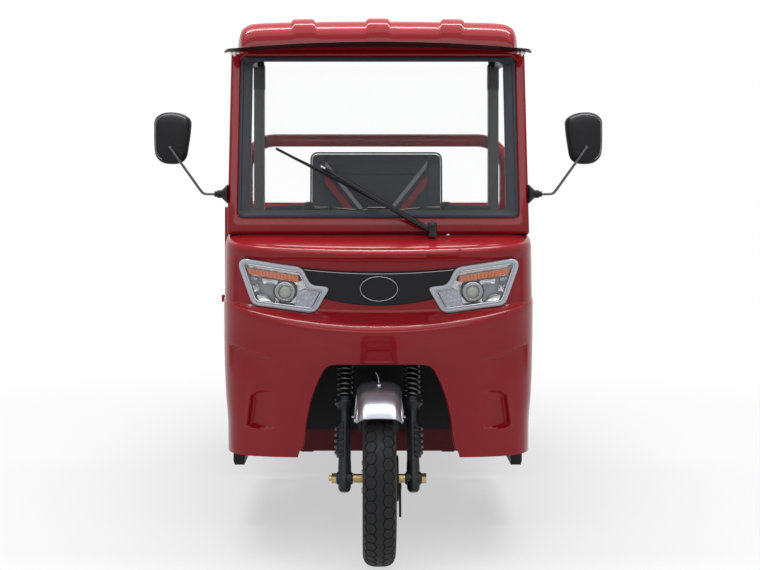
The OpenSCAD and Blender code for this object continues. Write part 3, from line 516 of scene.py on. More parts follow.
# strip between the lamps, with a curved upper and lower edge and pointed ends
grille = {"half": 237.6, "low": 757, "lowRise": 22, "top": 855, "topRise": 13, "endX": (175, 215, 238),
          "endZ": (779, 816, 868), "front": 8, "back": 30, "bevel": 1.2, "gap": 0.6}


def grilleSpan(x):
    a, chin, tip = abs(x), grille["endX"][0], grille["endX"][-1]
    low = grille["low"] + grille["lowRise"] * (a / chin) ** 2
    if a > chin:
        low = float(np.interp(a, grille["endX"], grille["endZ"]))
    return low, grille["top"] + grille["topRise"] * (a / tip) ** 2


grilleX = np.linspace(-grille["half"], grille["half"], 61).tolist()
grilleOutline = [(x, grilleSpan(x)[0]) for x in grilleX] + [(x, grilleSpan(x)[1]) for x in grilleX[::-1]]
rowZ = [r[0] for r in frontBody["rows"]]
rise, spread, nose, sweep = (smoothTable(rowZ, [r[i] for r in frontBody["rows"]]) for i in range(1, 5))


def corner(a):
    n = frontBody["corner"]
    return np.power(np.maximum(0, 1 - np.abs(a) ** n), 1 / n)


def bodyPoint(z, q, s, t=0):
    x = (frontBody["width"] / 2 + spread(z) - t) * q
    y = frontBody["rear"] - (frontBody["rear"] - nose(z) - sweep(z) * q * q - t) * s
    return x, y, z + rise(z) * q * q - t * between(*frontBody["bonnet"], z)


def frontAt(x, z):
    row = z
    for _ in range(12):
        q = x / (frontBody["width"] / 2 + spread(row))
        row = z - rise(row) * q * q
    return float(bodyPoint(row, q, corner(q))[1])


def fromLine(a, z, line):
    best = np.full(a.shape, 1e9)
    for (x0, z0), (x1, z1) in zip(line, line[1:]):
        t = np.clip(((a - x0) * (x1 - x0) + (z - z0) * (z1 - z0)) / ((x1 - x0) ** 2 + (z1 - z0) ** 2), 0, 1)
        best = np.minimum(best, np.hypot(a - x0 - t * (x1 - x0), z - z0 - t * (z1 - z0)))
    return best


def insideOf(a, z, outline):
    inside = np.zeros(a.shape, bool)
    for (x0, z0), (x1, z1) in zip(outline, outline[1:] + outline[:1]):
        if z0 != z1:
            inside ^= ((z0 > z) != (z1 > z)) & (a < (x1 - x0) * (z - z0) / (z1 - z0) + x0)
    return inside


# depth of the pressed shapes: hooked field with its hem, side crease, plate field, wiper pad, lip beside the lamps
def relief(x, z, row):
    form, a = frontBody, np.abs(x)
    away = fromLine(a, z, form["hook"])
    hook = insideOf(a, z, form["hook"]) * between(0, form["hookWall"], away) * between(*form["hookX"], a)
    hem = np.exp(-(away / form["hemWide"]) ** 2) * between(*form["hemX"], a)
    (x0, z0), (x1, z1) = form["crease"]
    below = z0 + (a - x0) * (z1 - z0) / (x1 - x0) - z
    crease = window(below, *form["creaseZ"]) * window(a, *form["creaseX"])
    away = fromLine(x, z, form["plate"] + form["plate"][:1])
    plate = insideOf(x, z, form["plate"]) * between(0, form["plateWall"], away)
    pad = window(x, *form["padX"]) * window(row, *form["padZ"])
    lip = between(*form["lipX"], a) * window(z, *form["lipZ"])
    sunk = form["hookDeep"] * hook + form["creaseDeep"] * crease + form["plateDeep"] * plate
    return sunk - form["hem"] * hem - form["pad"] * pad - form["lampLip"] * lip


# tools that open a panel for the two lamps
def lampTools(gap):
    left = filleted(outset(lampOutline, gap), lampSet["corner"])
    right = [(-x, z) for x, z in left][::-1]
    return [loose(Shape().prism(outline, -100, 150), "lampTool") for outline in (left, right)]


def makeFrontBody():
    half = spans(*frontBody["across"])
    side = np.linspace(float(corner(half[-1])), 0, 34)[1:]
    q = np.concatenate([half, corner(side)])
    s = np.concatenate([corner(half), side])
    q, s = np.concatenate([-q[:0:-1], q]), np.concatenate([s[:0:-1], s])
    z, q = np.meshgrid(spans(*frontBody["heights"]), q, indexing="ij")
    s = np.broadcast_to(s, q.shape)
    outer = np.stack(bodyPoint(z, q, s), -1)
    outer[..., 1] += relief(outer[..., 0], outer[..., 2], z) * s
    inner = np.stack(bodyPoint(z, q, s, frontBody["wall"]), -1)
    inner[..., 1] += np.maximum(0, relief(inner[..., 0], inner[..., 2], z)) * s
    body = loose(Shape().shell(outer, inner), "FrontBody")
    arch = frontBody["arch"]
    arch = filleted(arch + [(-x, z) for x, z in arch[::-1]], frontBody["archRound"])
    cut(body, loose(Shape().prism(arch, -300, 330), "archTool"), *lampTools(lampSet["bodyGap"]),
        loose(Shape().prism(outset(grilleOutline, grille["gap"]), -100, 60), "grilleTool"))
    tidyMesh(body.data)
    finishPiece(body, "RedPaint", stands=["front_fascia"], sharp=48)
    edge = [(x, frontAt(x, z) + 3, z) for x, z in arch if z > frontBody["rollFoot"]]
    Shape().tube(edge, 5, 10).piece("ArchRolledEdge", "RedPaint")


makeFrontBody()
print("front body made")


def bowed(x, deep):
    return deep + fallOf(lampSet["bow"], x)


def onBow(outline, deep, sign=1):
    return [(sign * x, bowed(x, deep), z) for x, z in outline]


def makeLamp(sign, side):
    name, form = "Lamp" + side, lampSet

    def loops(steps):
        return [onBow(filleted(outset(lampOutline, -inset), max(3, form["corner"] - inset * 0.4)), deep, sign)
                for inset, deep in steps]

    def slab(outline, steps):
        return Shape().stack([onBow(outset(outline, -inset), deep, sign) for inset, deep in steps])
    Shape().hoop(loops(form["bezel"])).piece(name + "Bezel", "LampShell", stands=once(sign, "headlamps"), sharp=60)
    dish = loops(form["dish"])
    floorFace = tuple(range(len(dish[-1])))
    Shape().grid(dish, wrap=True).add(dish[-1], [floorFace]).piece(name + "Reflector", "LampReflector", sharp=30)
    Shape().tube(loops(form["rim"])[0], 1.5, 6, closed=True).piece(name + "Rim", "BrightLine", sharp=60)
    cups = Shape()
    for facet in form["facets"]:
        mid = sum((Vector(p) for p in facet), Vector((0, 0))) / len(facet)
        loop = filleted(facet, 4)
        cups.stack([onBow([mid + (p - mid) * share for p in loop], deep, sign) for share, deep in form["facetSteps"]])
    cups.piece(name + "Facets", "LampReflector", sharp=50)
    slab(filleted(form["back"], 4), form["backSteps"]).piece(name + "Back", "LampBack", sharp=50)
    ex, ez = form["eye"]
    spot, r, y = (sign * ex, 0, ez), form["eyeR"], bowed(ex, 0)
    turns = [math.tau * (k + 0.5) / 8 for k in range(8)]
    base = [(sign * ex + (r + 6) * math.cos(a), ez + (r + 6) * math.sin(a)) for a in turns]
    # dark octagon behind the projector rings: painted shade round the eye, where the surround itself is silver
    Shape().prism(base, y + 18, y + 26).piece(name + "EyeBase", "GlossBlack", bevel=1.5)
    ring = [(r + grow, y + deep) for grow, deep in form["ring"]]
    Shape().spun(ring, spot, "y", 56).piece(name + "EyeRings", "Chrome", stands=once(sign, "lamp_projectors"), sharp=60)
    r = form["lensR"]
    lens = [(r * math.sin(a), y + 18 - 9 * math.cos(a)) for a in np.linspace(0.02, math.pi / 2, 12)]
    lens += [(r * 0.98, y + 22), (0.4, y + 22)]
    Shape().spun(lens, spot, "y", 48).piece(name + "EyeLens", "LampEye", sharp=60)
    strip = Shape()
    a, b, c, d = form["amber"]
    for k in range(form["ribs"]):          # moulded ribs of the turn signal
        u, v = k / form["ribs"], (k + 0.86) / form["ribs"]
        quad = [partWay(a, b, u), partWay(a, b, v), partWay(d, c, v), partWay(d, c, u)]
        strip.stack([onBow(quad, deep, sign) for deep in (24, 10)])
    strip.stack([onBow(form["amber"], deep, sign) for deep in (25, 12)])
    strip.piece(name + "Signal", "LampAmber", stands=once(sign, "lamp_indicators"), bevel=0.8)
    slab(filleted(form["wing"], 5), form["wingSteps"]).piece(name + "Wing", "LampFrost", sharp=50)
    Shape().stack(loops(form["cover"])).piece(name + "Cover", "LampCover", stands=once(sign, "lamp_covers"), sharp=50)


bothSides = ((1, "Left"), (-1, "Right"))
for sign, side in bothSides:
    makeLamp(sign, side)


# bevelled panel in columns from end to end, cut round the lamps
def makeGrille():
    front, back, bevel = grille["front"], grille["back"], grille["bevel"]
    columns = []
    for x in grilleX:
        low, high = grilleSpan(x)
        e = min(bevel, (high - low) / 4)
        section = [(low, front + bevel), (low + e, front), ((low + high) / 2, front), (high - e, front),
                   (high, front + bevel), (high, back), (low, back)]
        columns.append([(x, bowed(x, deep), z) for z, deep in section])
    panel = loose(Shape().stack(columns), "GrillePanel")
    cut(panel, *lampTools(lampSet["panelGap"]))
    tidyMesh(panel.data)
    finishPiece(panel, "GrillePlastic", stands=["grille_panel"], sharp=40)


makeGrille()

# thin bright line over the strip and a blank oval ring on it
grilleTrim = {"oval": (55, 36), "height": 806, "wire": 0.95, "half": 222, "under": 5.2}
line = [(x, grilleSpan(x)[1] - grilleTrim["under"]) for x in np.linspace(-grilleTrim["half"], grilleTrim["half"], 41)]
trim = Shape().tube(onBow(line, 7.4), grilleTrim["wire"], 8)
ovalX, ovalZ = grilleTrim["oval"]
turns = np.linspace(0, math.tau, 64, endpoint=False)
ring = [(ovalX * math.cos(a), grilleTrim["height"] + ovalZ * math.sin(a)) for a in turns]
trim.tube(onBow(ring, 5.6), grilleTrim["wire"], 8, closed=True).piece("GrilleBrightwork", "TrimLine")
print("lamps and grille made")

# windscreen: u across, v up the slope, w out of the glass
screen = {"y": 225, "z": 963.5, "lean": 12, "half": 470, "high": 594, "foot": -3, "pane": 438, "low": 46, "top": 572,
          "gap": 0.5, "border": 38, "topBorder": 14, "lowBorder": 26}


def onScreen(u, v, w):
    a = math.radians(screen["lean"])
    return (u, screen["y"] + v * math.sin(a) - w * math.cos(a), screen["z"] + v * math.cos(a) + w * math.sin(a))


def roundRect(x, low, high, r):
    loop, steps = [], 6
    for cx, cy, start in ((x - r, low + r, -90), (x - r, high - r, 0), (r - x, high - r, 90), (r - x, low + r, 180)):
        for k in range(steps + 1):
            a = math.radians(start + 90 * k / steps)
            loop.append((cx + r * math.cos(a), cy + r * math.sin(a)))
    return loop


# steps give half width, foot, head, corner radius and height over the glass
def screenRing(steps):
    return Shape().hoop([[onScreen(u, v, w) for u, v in roundRect(x, low, high, r)] for x, low, high, r, w in steps])


half, foot, high = screen["half"], screen["foot"], screen["high"]
pane, low, top = screen["pane"], screen["low"], screen["top"]
wide, sill, lintel = pane + screen["gap"], low - screen["gap"], top + screen["gap"]
screenRing([(half, foot, high, 6, -24), (half, foot, high, 6, 0), (half - 2, foot + 1, high - 1, 8, 4.5),
            (half - 6, 4, high - 3, 12, 7.4), (half - 10, 8, high - 6, 14, 8), (wide + 8, sill - 8, lintel + 8, 24, 8),
            (wide + 3, sill - 3, lintel + 3, 20, 7), (wide, sill, lintel, 18, 4), (wide, sill, lintel, 18, -24)]
           ).piece("ScreenFrame", "RedPaint", stands=["windscreen_frame"], sharp=50)
wide, sill, lintel = pane - screen["border"], low + screen["lowBorder"], top - screen["topBorder"]
screenRing([(pane, low, top, 18, -8), (pane, low, top, 18, 4.5), (pane - 2, low + 2, top - 2, 17, 6),
            (pane - 8, low + 8, top - 6, 17, 6.2), (pane - 11, low + 11, top - 8, 17, 3.2),
            (wide + 3, sill - 2, lintel + 2, 20, 2.6), (wide, sill, lintel, 20, 0.6), (wide, sill, lintel, 20, -8)]
           ).piece("ScreenBorder", "ScreenBorder", stands=["windscreen_seal"], sharp=40)

# dark seal strip at the foot of the frame
seal = [(8 - half, -4.5), (half - 8, -4.5), (half - 8, -1), (8 - half, -1)]
Shape().stack([[onScreen(u, v, w) for u, v in seal] for w in (-20, 1)]).piece("FrameFootSeal", "BlackRubber")

# roof: rows of share of the length, half width and crown drop
roofTop = {"front": 318, "back": 1090, "crown": 1676, "camber": 8, "edge": 1548, "climb": 0.041, "wall": 18,
           "rib": 10, "ribX": 256, "ribWide": 80, "ribSoft": 5,
           "rows": [[0, -46, 112], [0.012, -43, 78], [0.04, -36, 52], [0.09, -28, 34], [0.17, -21, 20], [0.3, -17, 8],
                    [0.5, -16, 1], [0.75, -16, 0], [0.9, -18, 6], [0.97, -22, 22], [1, -28, 44]]}


def makeRoof():
    shares = [r[0] for r in roofTop["rows"]]
    wide, drop = (smoothTable(shares, [r[i] for r in roofTop["rows"]]) for i in (1, 2))
    half = np.concatenate([np.linspace(0, 0.9, 70), 1 - 0.098 * np.linspace(1, 0, 22) ** 2.2])
    q = np.concatenate([-half[:0:-1], half])
    share, q = np.meshgrid(spans((0, 0.1, 22), (0.12, 0.86, 22), (0.88, 1, 16)), q, indexing="ij")
    y = roofTop["front"] + share * (roofTop["back"] - roofTop["front"])
    edge = roofTop["edge"] + (y - roofTop["front"]) * roofTop["climb"]
    k = np.maximum(0, 1 - np.abs(q) ** 24) ** (1 / 3)
    crown = roofTop["crown"] - drop(share) - roofTop["camber"] * q * q

    def skin(t):
        return np.stack([(frontBody["width"] / 2 + wide(share) - t) * q, y, edge + (crown - edge - t) * k], -1)
    outer = skin(0)
    reach, soft = roofTop["ribWide"] / 2, roofTop["ribSoft"]
    for place in (-roofTop["ribX"], 0, roofTop["ribX"]):
        apart = np.abs(q * frontBody["width"] / 2 - place)
        fade = 0.3 + 0.7 * between(0, 0.04, share)
        outer[..., 2] += (1 - between(reach - soft, reach + soft, apart)) * roofTop["rib"] * fade
    Shape().shell(outer, skin(roofTop["wall"])).piece("Roof", "RedPaint", stands=["roof"], sharp=50)


makeRoof()

# sun visor: a bowed sheet with a rolled front edge and swept ends, held by two clips
visor = {"half": 488, "front": 189, "planR": 2200, "archR": 6600, "top": 1557, "thick": 5, "back": 317,
         "endX": 470, "endSweep": 60, "clipX": 452}


def visorTop(x):
    return visor["top"] - fallOf(visor["archR"], x)


def visorFront(x):
    end = max(0, (abs(x) - visor["endX"]) / (visor["half"] - visor["endX"]))
    return visor["front"] + fallOf(visor["planR"], x) + visor["endSweep"] * end ** 2


def makeVisor():
    thick, back, rows = visor["thick"], visor["back"], []
    for x in np.linspace(-visor["half"], visor["half"], 61):
        tip, z = visorFront(x), visorTop(x)
        cross = [(back, z), (tip + 30, z), (tip + 8, z - 0.6), (tip, z - 2.5), (tip + 6, z - 5), (tip + 30, z - thick),
                 (back, z - thick)]
        rows.append([(x, *point) for point in cross])
    Shape().stack(rows).piece("SunVisor", "VisorPlastic", stands=["sun_visor"], sharp=50)
    clips = Shape()
    for x in (-visor["clipX"], visor["clipX"]):
        z = visorTop(x)
        clips.block((x - 14, 285, z - 16), (x + 14, 312, z - thick - 0.4))
        clips.block((x - 4, 262, z - 24), (x + 4, 300, z - thick - 0.4))
    clips.piece("VisorClips", "ZincBolt", bevel=1.5)


makeVisor()

# sleeves at the heads of the cab posts, each with a tongue
sleeve = {"x": (415.5, 456.5), "z": (1468, 1561), "tongueX": (419, 439), "tongueZ": (1557, 1604), "deep": 41}
postBack = (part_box("cab_posts")[1][1] - axleY) * 1000 + 1.5
heads = Shape()
for sign in (-1, 1):
    for x, z in ((sleeve["x"], sleeve["z"]), (sleeve["tongueX"], sleeve["tongueZ"])):
        heads.sideBlock(sign, x, (postBack - sleeve["deep"], postBack), z)
heads.piece("PostSleeves", "BlackPlastic", bevel=2)
print("screen, roof and visor made")

# mirrors: sleeve and thin rod up to a moulded head, glass towards the driver; head and glass step in scale and depth
mirror = {
    "y": 248, "cone": 1084, "centre": (643, 1258),
    "outline": [(588, 1316), (612, 1334), (645, 1340), (676, 1336), (698, 1318), (701, 1285), (700, 1228), (694, 1200),
                (674, 1182), (645, 1177.5), (618, 1182), (601, 1200), (593, 1240), (587, 1285)],
    "head": [(0.90, 10), (0.93, 15.5), (0.97, 16), (1.0, 13), (1.0, -2), (0.985, -8), (0.95, -12.5), (0.915, -14.5),
             (0.895, -13.6), (0.88, -15.5), (0.78, -19.5), (0.6, -23.2), (0.35, -25.2), (0.1, -26)],
    "glass": [(0.90, 10.4), (0.90, 13.4), (0.89, 13.9)], "rim": [(0.90, -14.6)],
    "stalk": [(30, 470.6), (29, 473), (20, 482), (14.5, 488), (12.5, 489), (12.5, 502), (9, 505), (9, 512), (0.3, 512),
              (0.3, 470.6)],
    "rod": [(500, 0, 1084), (530, 0, 1084), (546, -1, 1086), (556, -4, 1096), (575, -12, 1124), (612, -24, 1178)],
    "rodEnd": (646, -27, 1228), "ball": [(0.3, -32), (5, -31.5), (6.5, -28), (6.5, -23), (0.3, -22)],
    "ballAt": (647, 1229)}


def makeMirror(sign, side):
    cx, cz = mirror["centre"]
    y = mirror["y"]
    outline = spline(mirror["outline"], 5, closed=True)

    def loops(steps):
        return [[(sign * (cx + (u - cx) * scale), y + deep, cz + (v - cz) * scale) for u, v in outline]
                for scale, deep in steps]

    def flipped(points):
        return [(sign * u, v, w) for u, v, w in points]
    head = Shape().stack(loops(mirror["head"]))
    head.piece("MirrorHead" + side, "BlackPlastic", stands=once(sign, "mirrors"), sharp=32)
    Shape().stack(loops(mirror["glass"])).piece("MirrorGlass" + side, "MirrorFace", sharp=30)
    Shape().tube(loops(mirror["rim"])[0][2:40], 0.9, 6).piece("MirrorRim" + side, "TrimLine")
    arc = [(cx + 2 + 17 * math.cos(a), y - 18.5 + 3.4 * math.sin(a), cz + 62 + 26 * math.sin(a))
           for a in np.linspace(-math.pi, 0, 18)]
    seam = [(cx + u, y - 18.6 - 5.4 * math.cos(u / 46), cz - 30) for u in np.linspace(-40, 44, 16)]
    Shape().tube(flipped(arc), 0.9, 6).tube(flipped(seam), 0.8, 6).piece("MirrorTrim" + side, "BlackRubber")
    stalk = Shape().spun(mirror["stalk"], (0, y, mirror["cone"]), "x", 32)
    stalk.verts = flipped(stalk.verts)
    stalk.piece("MirrorStalk" + side, "BlackPlastic", sharp=45)
    *bend, end = [(u, y + v, w) for u, v, w in mirror["rod"] + [mirror["rodEnd"]]]
    rod = Shape().tube(flipped(spline(bend, 5) + [end]), 4.2, 12)
    x, z = mirror["ballAt"]
    rod.spun(mirror["ball"], (sign * x, y, z), "y", 20).piece("MirrorRod" + side, "SpringSteel")


for sign, side in bothSides:
    makeMirror(sign, side)

# wiper: pivot on the bonnet pad, channel arm, bridge and rubber blade
wiper = {"pivot": (165, 145, 955.5), "joint": (-163, 197), "tip": (-321, 266, 16), "heel": (0, 96, 16),
         "bridge": (0.18, 0.82), "screw": (212, 150, 958.5),
         "hub": [(0.3, 0), (15, 0), (15, 6), (12.5, 8), (12.5, 30), (14.5, 31), (14.5, 40), (12, 43), (0.3, 43.5)],
         "screwHead": [(0.3, 0), (5.5, 0), (5.5, 3), (3.5, 4.6), (0.3, 5)]}


def makeWiper():
    px, py, pz = wiper["pivot"]
    hub = Shape().spun(wiper["hub"], (px, py, pz), "z", 28)
    start, end = Vector(onScreen(px, -2, 34)), Vector(onScreen(*wiper["joint"], 25))
    hub.tube([(px, py, pz + 36), Vector((px, py, pz + 38)).lerp(start, 0.6), start], [11, 11, 10], 10)
    shares = np.linspace(0, 1, 14)
    arm = [start.lerp(end, t) + Vector((0, -6 * math.sin(math.pi * t), 0)) for t in shares]
    hub.tube(arm, [10 - 4.5 * t for t in shares], 8, flat=0.75)
    hub.piece("WiperArm", "GlossBlack", stands=["wiper"], sharp=40)
    tip, heel = Vector(wiper["tip"]), Vector(wiper["heel"])
    blade = Shape().tube([onScreen(*tip.lerp(heel, t)) for t in np.linspace(0, 1, 16)], 4.2, 8, flat=1.2)
    lip = [tip.lerp(heel, t) for t in np.linspace(0.01, 0.99, 12)]
    blade.tube([onScreen(p.x, p.y, 10.5) for p in lip], 2.4, 6)
    low, high = wiper["bridge"]
    bridge = []
    for t in np.linspace(low, high, 12):
        lift = 4 + 11 * math.sin(math.pi * (t - low) / (high - low))
        bridge.append(tip.lerp(heel, t) + Vector((0, 0, lift)))
    blade.tube([onScreen(*p) for p in bridge], 3.6, 8, flat=1.6)
    jx, jy = wiper["joint"]
    blade.tube([onScreen(jx - 8, jy + 4, 23), onScreen(jx + 12, jy - 8, 26)], 7, 10)
    blade.piece("WiperBlade", "BlackRubber", sharp=40)
    clip = Shape().tube([onScreen(jx - 16, jy + 9, 30), onScreen(jx - 2, jy + 1, 31)], 3.2, 8)
    clip.spun(wiper["screwHead"], wiper["screw"], "z", 16).piece("WiperClipAndScrew", "ZincBolt")


makeWiper()
print("mirrors and wiper made")


# a node tree from a few lines: adds a node, sets it, links or fills its sockets
class Tree:
    def __init__(self, name, **inputs):
        self.group = bpy.data.node_groups.new(name, "GeometryNodeTree")
        self.defaults, self.ids = inputs, {}
        for way in ("INPUT", "OUTPUT"):
            self.group.interface.new_socket("Geometry", in_out=way, socket_type="NodeSocketGeometry")
        kinds = {int: "Int", float: "Float", tuple: "Vector"}
        for key, value in inputs.items():
            kind = "NodeSocket" + kinds.get(type(value), "Object")
            self.ids[key] = self.group.interface.new_socket(key, in_out="INPUT", socket_type=kind).identifier
        self.start = self.group.nodes.new("NodeGroupInput")
        self.end = self.group.nodes.new("NodeGroupOutput")

    def add(self, kind, settings=None, out=0, **values):
        node = self.group.nodes.new(kind)
        for key, value in (settings or {}).items():
            setattr(node, key, value)
        for key, value in values.items():
            socket = node.inputs[int(key[1:]) if key[1:].isdigit() else key.replace("_", " ")]
            if isinstance(value, bpy.types.NodeSocket):
                self.group.links.new(value, socket)
            else:
                socket.default_value = value
        return node.outputs[out]

    def given(self, key):
        return self.start.outputs[key]

    def times(self, first, second):
        return self.add("ShaderNodeMath", {"operation": "MULTIPLY"}, i0=first, i1=second)

    # realised, given its material and turned into a plain mesh piece
    def piece(self, geometry, name, look, body, stands=(), base=None, move=None, sharp=30):
        done = self.add("GeometryNodeRealizeInstances", Geometry=geometry)
        done = self.add("GeometryNodeSetMaterial", Geometry=done, Material=looks[look])
        self.group.links.new(done, self.end.inputs[0])
        obj = linked(name, base or bpy.data.meshes.new(name))
        mod = obj.modifiers.new("Nodes", "NODES")
        mod.node_group = self.group
        for key, value in self.defaults.items():
            mod[self.ids[key]] = value
        settle(obj)
        if move is not None:
            obj.data.transform(move)
        tidyMesh(obj.data)
        finishPiece(obj, look, body, stands, sharp)


# repeats one mesh: each copy moves a step on and turns further round the x axis
def repeated(name, source, count, look, body="vehicle", step=(0, 0, 0), turn=0.0, move=None, sharp=30):
    tree = Tree(name + "Nodes", Count=count, Step=tuple(v / 1000 for v in step), Turn=turn, Source=source)
    line = tree.add("GeometryNodeMeshLine", Count=tree.given("Count"), Offset=tree.given("Step"))
    angle = tree.times(tree.add("GeometryNodeInputIndex"), tree.given("Turn"))
    form = tree.add("GeometryNodeObjectInfo", out="Geometry", Object=tree.given("Source"))
    placed = tree.add("GeometryNodeInstanceOnPoints", Points=line, Instance=form,
                      Rotation=tree.add("ShaderNodeCombineXYZ", X=angle))
    tree.piece(placed, name, look, body, move=move, sharp=sharp)
    bpy.data.objects.remove(source)


# hexagon bolts with washers at points, each along its own direction
def boltsAt(name, spots, size, body="vehicle"):
    base = bpy.data.meshes.new(name)
    base.from_pydata([at(*p) for p, way in spots], [], [])
    aim = base.attributes.new("aim", "FLOAT_VECTOR", "POINT")
    for i, (p, way) in enumerate(spots):
        aim.data[i].vector = way
    tree = Tree(name + "Nodes", Size=size / 1000)
    size = tree.given("Size")
    washer = tree.add("GeometryNodeMeshCylinder", Vertices=16, Radius=tree.times(size, 1.35),
                      Depth=tree.times(size, 0.35))
    head = tree.add("GeometryNodeMeshCylinder", Vertices=6, Radius=size, Depth=tree.times(size, 1.7))
    bolt = tree.add("GeometryNodeJoinGeometry")
    for part in (washer, head):
        tree.group.links.new(part, bolt.node.inputs[0])
    way = tree.add("GeometryNodeInputNamedAttribute", {"data_type": "FLOAT_VECTOR"}, Name="aim")
    turn = tree.add("FunctionNodeAlignRotationToVector", {"axis": "Z"}, Vector=way)
    placed = tree.add("GeometryNodeInstanceOnPoints", Points=tree.start.outputs[0], Instance=bolt, Rotation=turn)
    tree.piece(placed, name, "ZincBolt", body, base=base)


# steering axis: z runs up it
steer = {"rake": 24, "offset": 30, "axle": 250, "fork": 101}


def onSteer(x, y, z):
    a = math.radians(steer["rake"])
    return (x, steer["offset"] * math.cos(a) + y * math.cos(a) + z * math.sin(a),
            steer["axle"] - steer["offset"] * math.sin(a) - y * math.sin(a) + z * math.cos(a))


# fork coil springs
spring = {"low": 245.2, "high": 419.8, "turns": 11.0, "radius": 0.022, "wire": 0.0048}


def makeSpring(sign, side):
    tree = Tree("ForkCoil" + side, Turns=spring["turns"], Radius=spring["radius"], Wire=spring["wire"],
                Height=(spring["high"] - spring["low"]) / 1000)
    radius = tree.given("Radius")
    path = tree.add("GeometryNodeCurveSpiral", Resolution=28, Rotations=tree.given("Turns"), Start_Radius=radius,
                    End_Radius=radius, Height=tree.given("Height"))
    section = tree.add("GeometryNodeCurvePrimitiveCircle", Resolution=10, Radius=tree.given("Wire"))
    coil = tree.add("GeometryNodeCurveToMesh", Curve=path, Profile_Curve=section, Fill_Caps=True)
    foot = Vector(at(*onSteer(sign * steer["fork"], -steer["offset"], spring["low"])))
    move = Matrix.Translation(foot) @ Matrix.Rotation(-math.radians(steer["rake"]), 4, "X")
    tree.piece(coil, "ForkSpring" + side, "SpringSteel", "steering", once(sign, "fork_springs"), move=move, sharp=60)


for sign, side in bothSides:
    makeSpring(sign, side)

# fork legs: slim sliders with a spring cup on top, a foot round the axle and a ribbed guard outside
leg = {"slider": [(0.3, -40), (11, -40), (15.5, -36), (18.5, -29), (19.5, -12), (19.5, 34), (18, 60), (18, 192),
                  (19, 202), (23, 212), (28.5, 220), (31, 222), (31, 227), (28, 228.5), (28, 232), (31, 233.5),
                  (31, 238), (29, 240), (16, 240.4), (14.8, 243), (14.8, 452), (0.3, 452)],
       "foot": [(0.3, -24.4), (15, -24.4), (18.5, -21), (18.5, 21), (15, 24.4), (0.3, 24.4)],
       "rib": [(25.5, 0), (30.5, 1.5), (31.5, 4), (30.5, 6.5), (25.5, 8)], "ribs": 5, "pitch": 18, "low": 60,
       "high": 164, "wrap": 80}


def makeLeg(sign, side):
    def along(section, turns):
        return [[onSteer(sign * (steer["fork"] + r * math.cos(a)), -steer["offset"] + r * math.sin(a), h)
                 for r, h in section] for a in turns]
    form = Shape().hoop(along(leg["slider"], [math.tau * k / 40 for k in range(40)]))
    form.spun(leg["foot"], (sign * steer["fork"], 0, steer["axle"]), "x", 32)
    form.piece("ForkLeg" + side, "ForkPaint", "steering", once(sign, "fork_legs"), sharp=35)
    low, high = leg["low"], leg["high"]
    section = [(16, low), (24, low + 2), (25.5, low + 8)]
    for k in range(leg["ribs"]):
        section += [(r, low + 11 + leg["pitch"] * k + h) for r, h in leg["rib"]]
    section += [(25.5, high - 8), (22, high), (16, high + 2)]
    turns = np.linspace(math.radians(-leg["wrap"]), math.radians(leg["wrap"]), 26)
    Shape().stack(along(section, turns)).piece("ForkGuard" + side, "ForkPaint", "steering", sharp=35)


for sign, side in bothSides:
    makeLeg(sign, side)

# tyres: carcass, smooth middle land, a chain of hexagons each side and shoulder lands, parted by thin grooves
tyreForm = {"radius": 250, "rim": 152, "wide": 96, "bead": 35.5, "tread": 4.0, "pitches": 47, "groove": 3.2,
            "sideBend": 0.62, "crownBend": 0.75, "sunk": 5, "soften": 0.9,
            "block": [(17, -15.5), (32, -15.5), (38.5, -2.5), (38.5, 2.5), (32, 15.5), (17, 15.5), (10.5, 2.5),
                      (10.5, -2.5)], "blockX": 24.5,
            "chainS": (2.5, 15.5), "chainOuter": (38.5, 38.5, 32, 31), "chainInner": (10.5, 10.5, 17, 18)}
halfPitch = math.pi * tyreForm["radius"] / tyreForm["pitches"]
tyreMiddle = (tyreForm["radius"] + tyreForm["rim"]) / 2 + 4


def treadRadius(x):
    c = min(1, (abs(x) / (tyreForm["wide"] / 2))) ** (1 / tyreForm["sideBend"])
    return tyreMiddle + (tyreForm["radius"] - tyreMiddle) * max(0, 1 - c * c) ** (tyreForm["crownBend"] / 2)


# places across the tread as (x, depth), all at s along it
def onTread(line, s, sign=1):
    a = s / tyreForm["radius"]
    radii = [treadRadius(x) - drop for x, drop in line]
    return [(sign * x, r * math.sin(a), r * math.cos(a)) for (x, drop), r in zip(line, radii)]


# width of the hexagon chain's inner or outer side at s along the tread
def chainSide(s, outer):
    s = abs((s + halfPitch) % (2 * halfPitch) - halfPitch)
    sides = tyreForm["chainOuter" if outer else "chainInner"]
    return float(np.interp(s, (0, *tyreForm["chainS"], halfPitch), sides)) + tyreForm["groove"] * (1 if outer else -1)


def treadPitch(name):
    pitch, sunk, soften = Shape(), tyreForm["sunk"], tyreForm["soften"]
    steps = np.linspace(-halfPitch, halfPitch, 13)
    rows = []
    for s in steps:
        left, right = -chainSide(s - halfPitch, False), chainSide(s, False)
        rows.append(onTread([(left, sunk), (left, soften), (left + 1, 0.3), (0, 0.2), (right - 1, 0.3), (right, soften),
                             (right, sunk)], s))
    pitch.grid(rows)
    for sign, shift in ((1, 0), (-1, halfPitch)):
        rows = []
        for s in steps:
            edge = chainSide(s - shift, True)
            rows.append(onTread([(edge, sunk), (edge, soften), (edge + 0.8, 0.3), (43, 0.2), (44.6, 1.0)], s, sign))
        pitch.grid(rows)
        outline = filleted(tyreForm["block"], 1.6, 2)
        small = [partWay((tyreForm["blockX"], 0), point, 0.93) for point in outline]
        pitch.stack([[onTread([(x, drop)], s + shift, sign)[0] for x, s in loop]
                     for loop, drop in ((outline, sunk), (outline, soften), (small, 0.2))])
    data = bpy.data.meshes.new(name)
    data.from_pydata([(x / 1000, y / 1000, z / 1000) for x, y, z in pitch.verts], [], pitch.faces)
    tidyMesh(data)
    return linked(name, data)


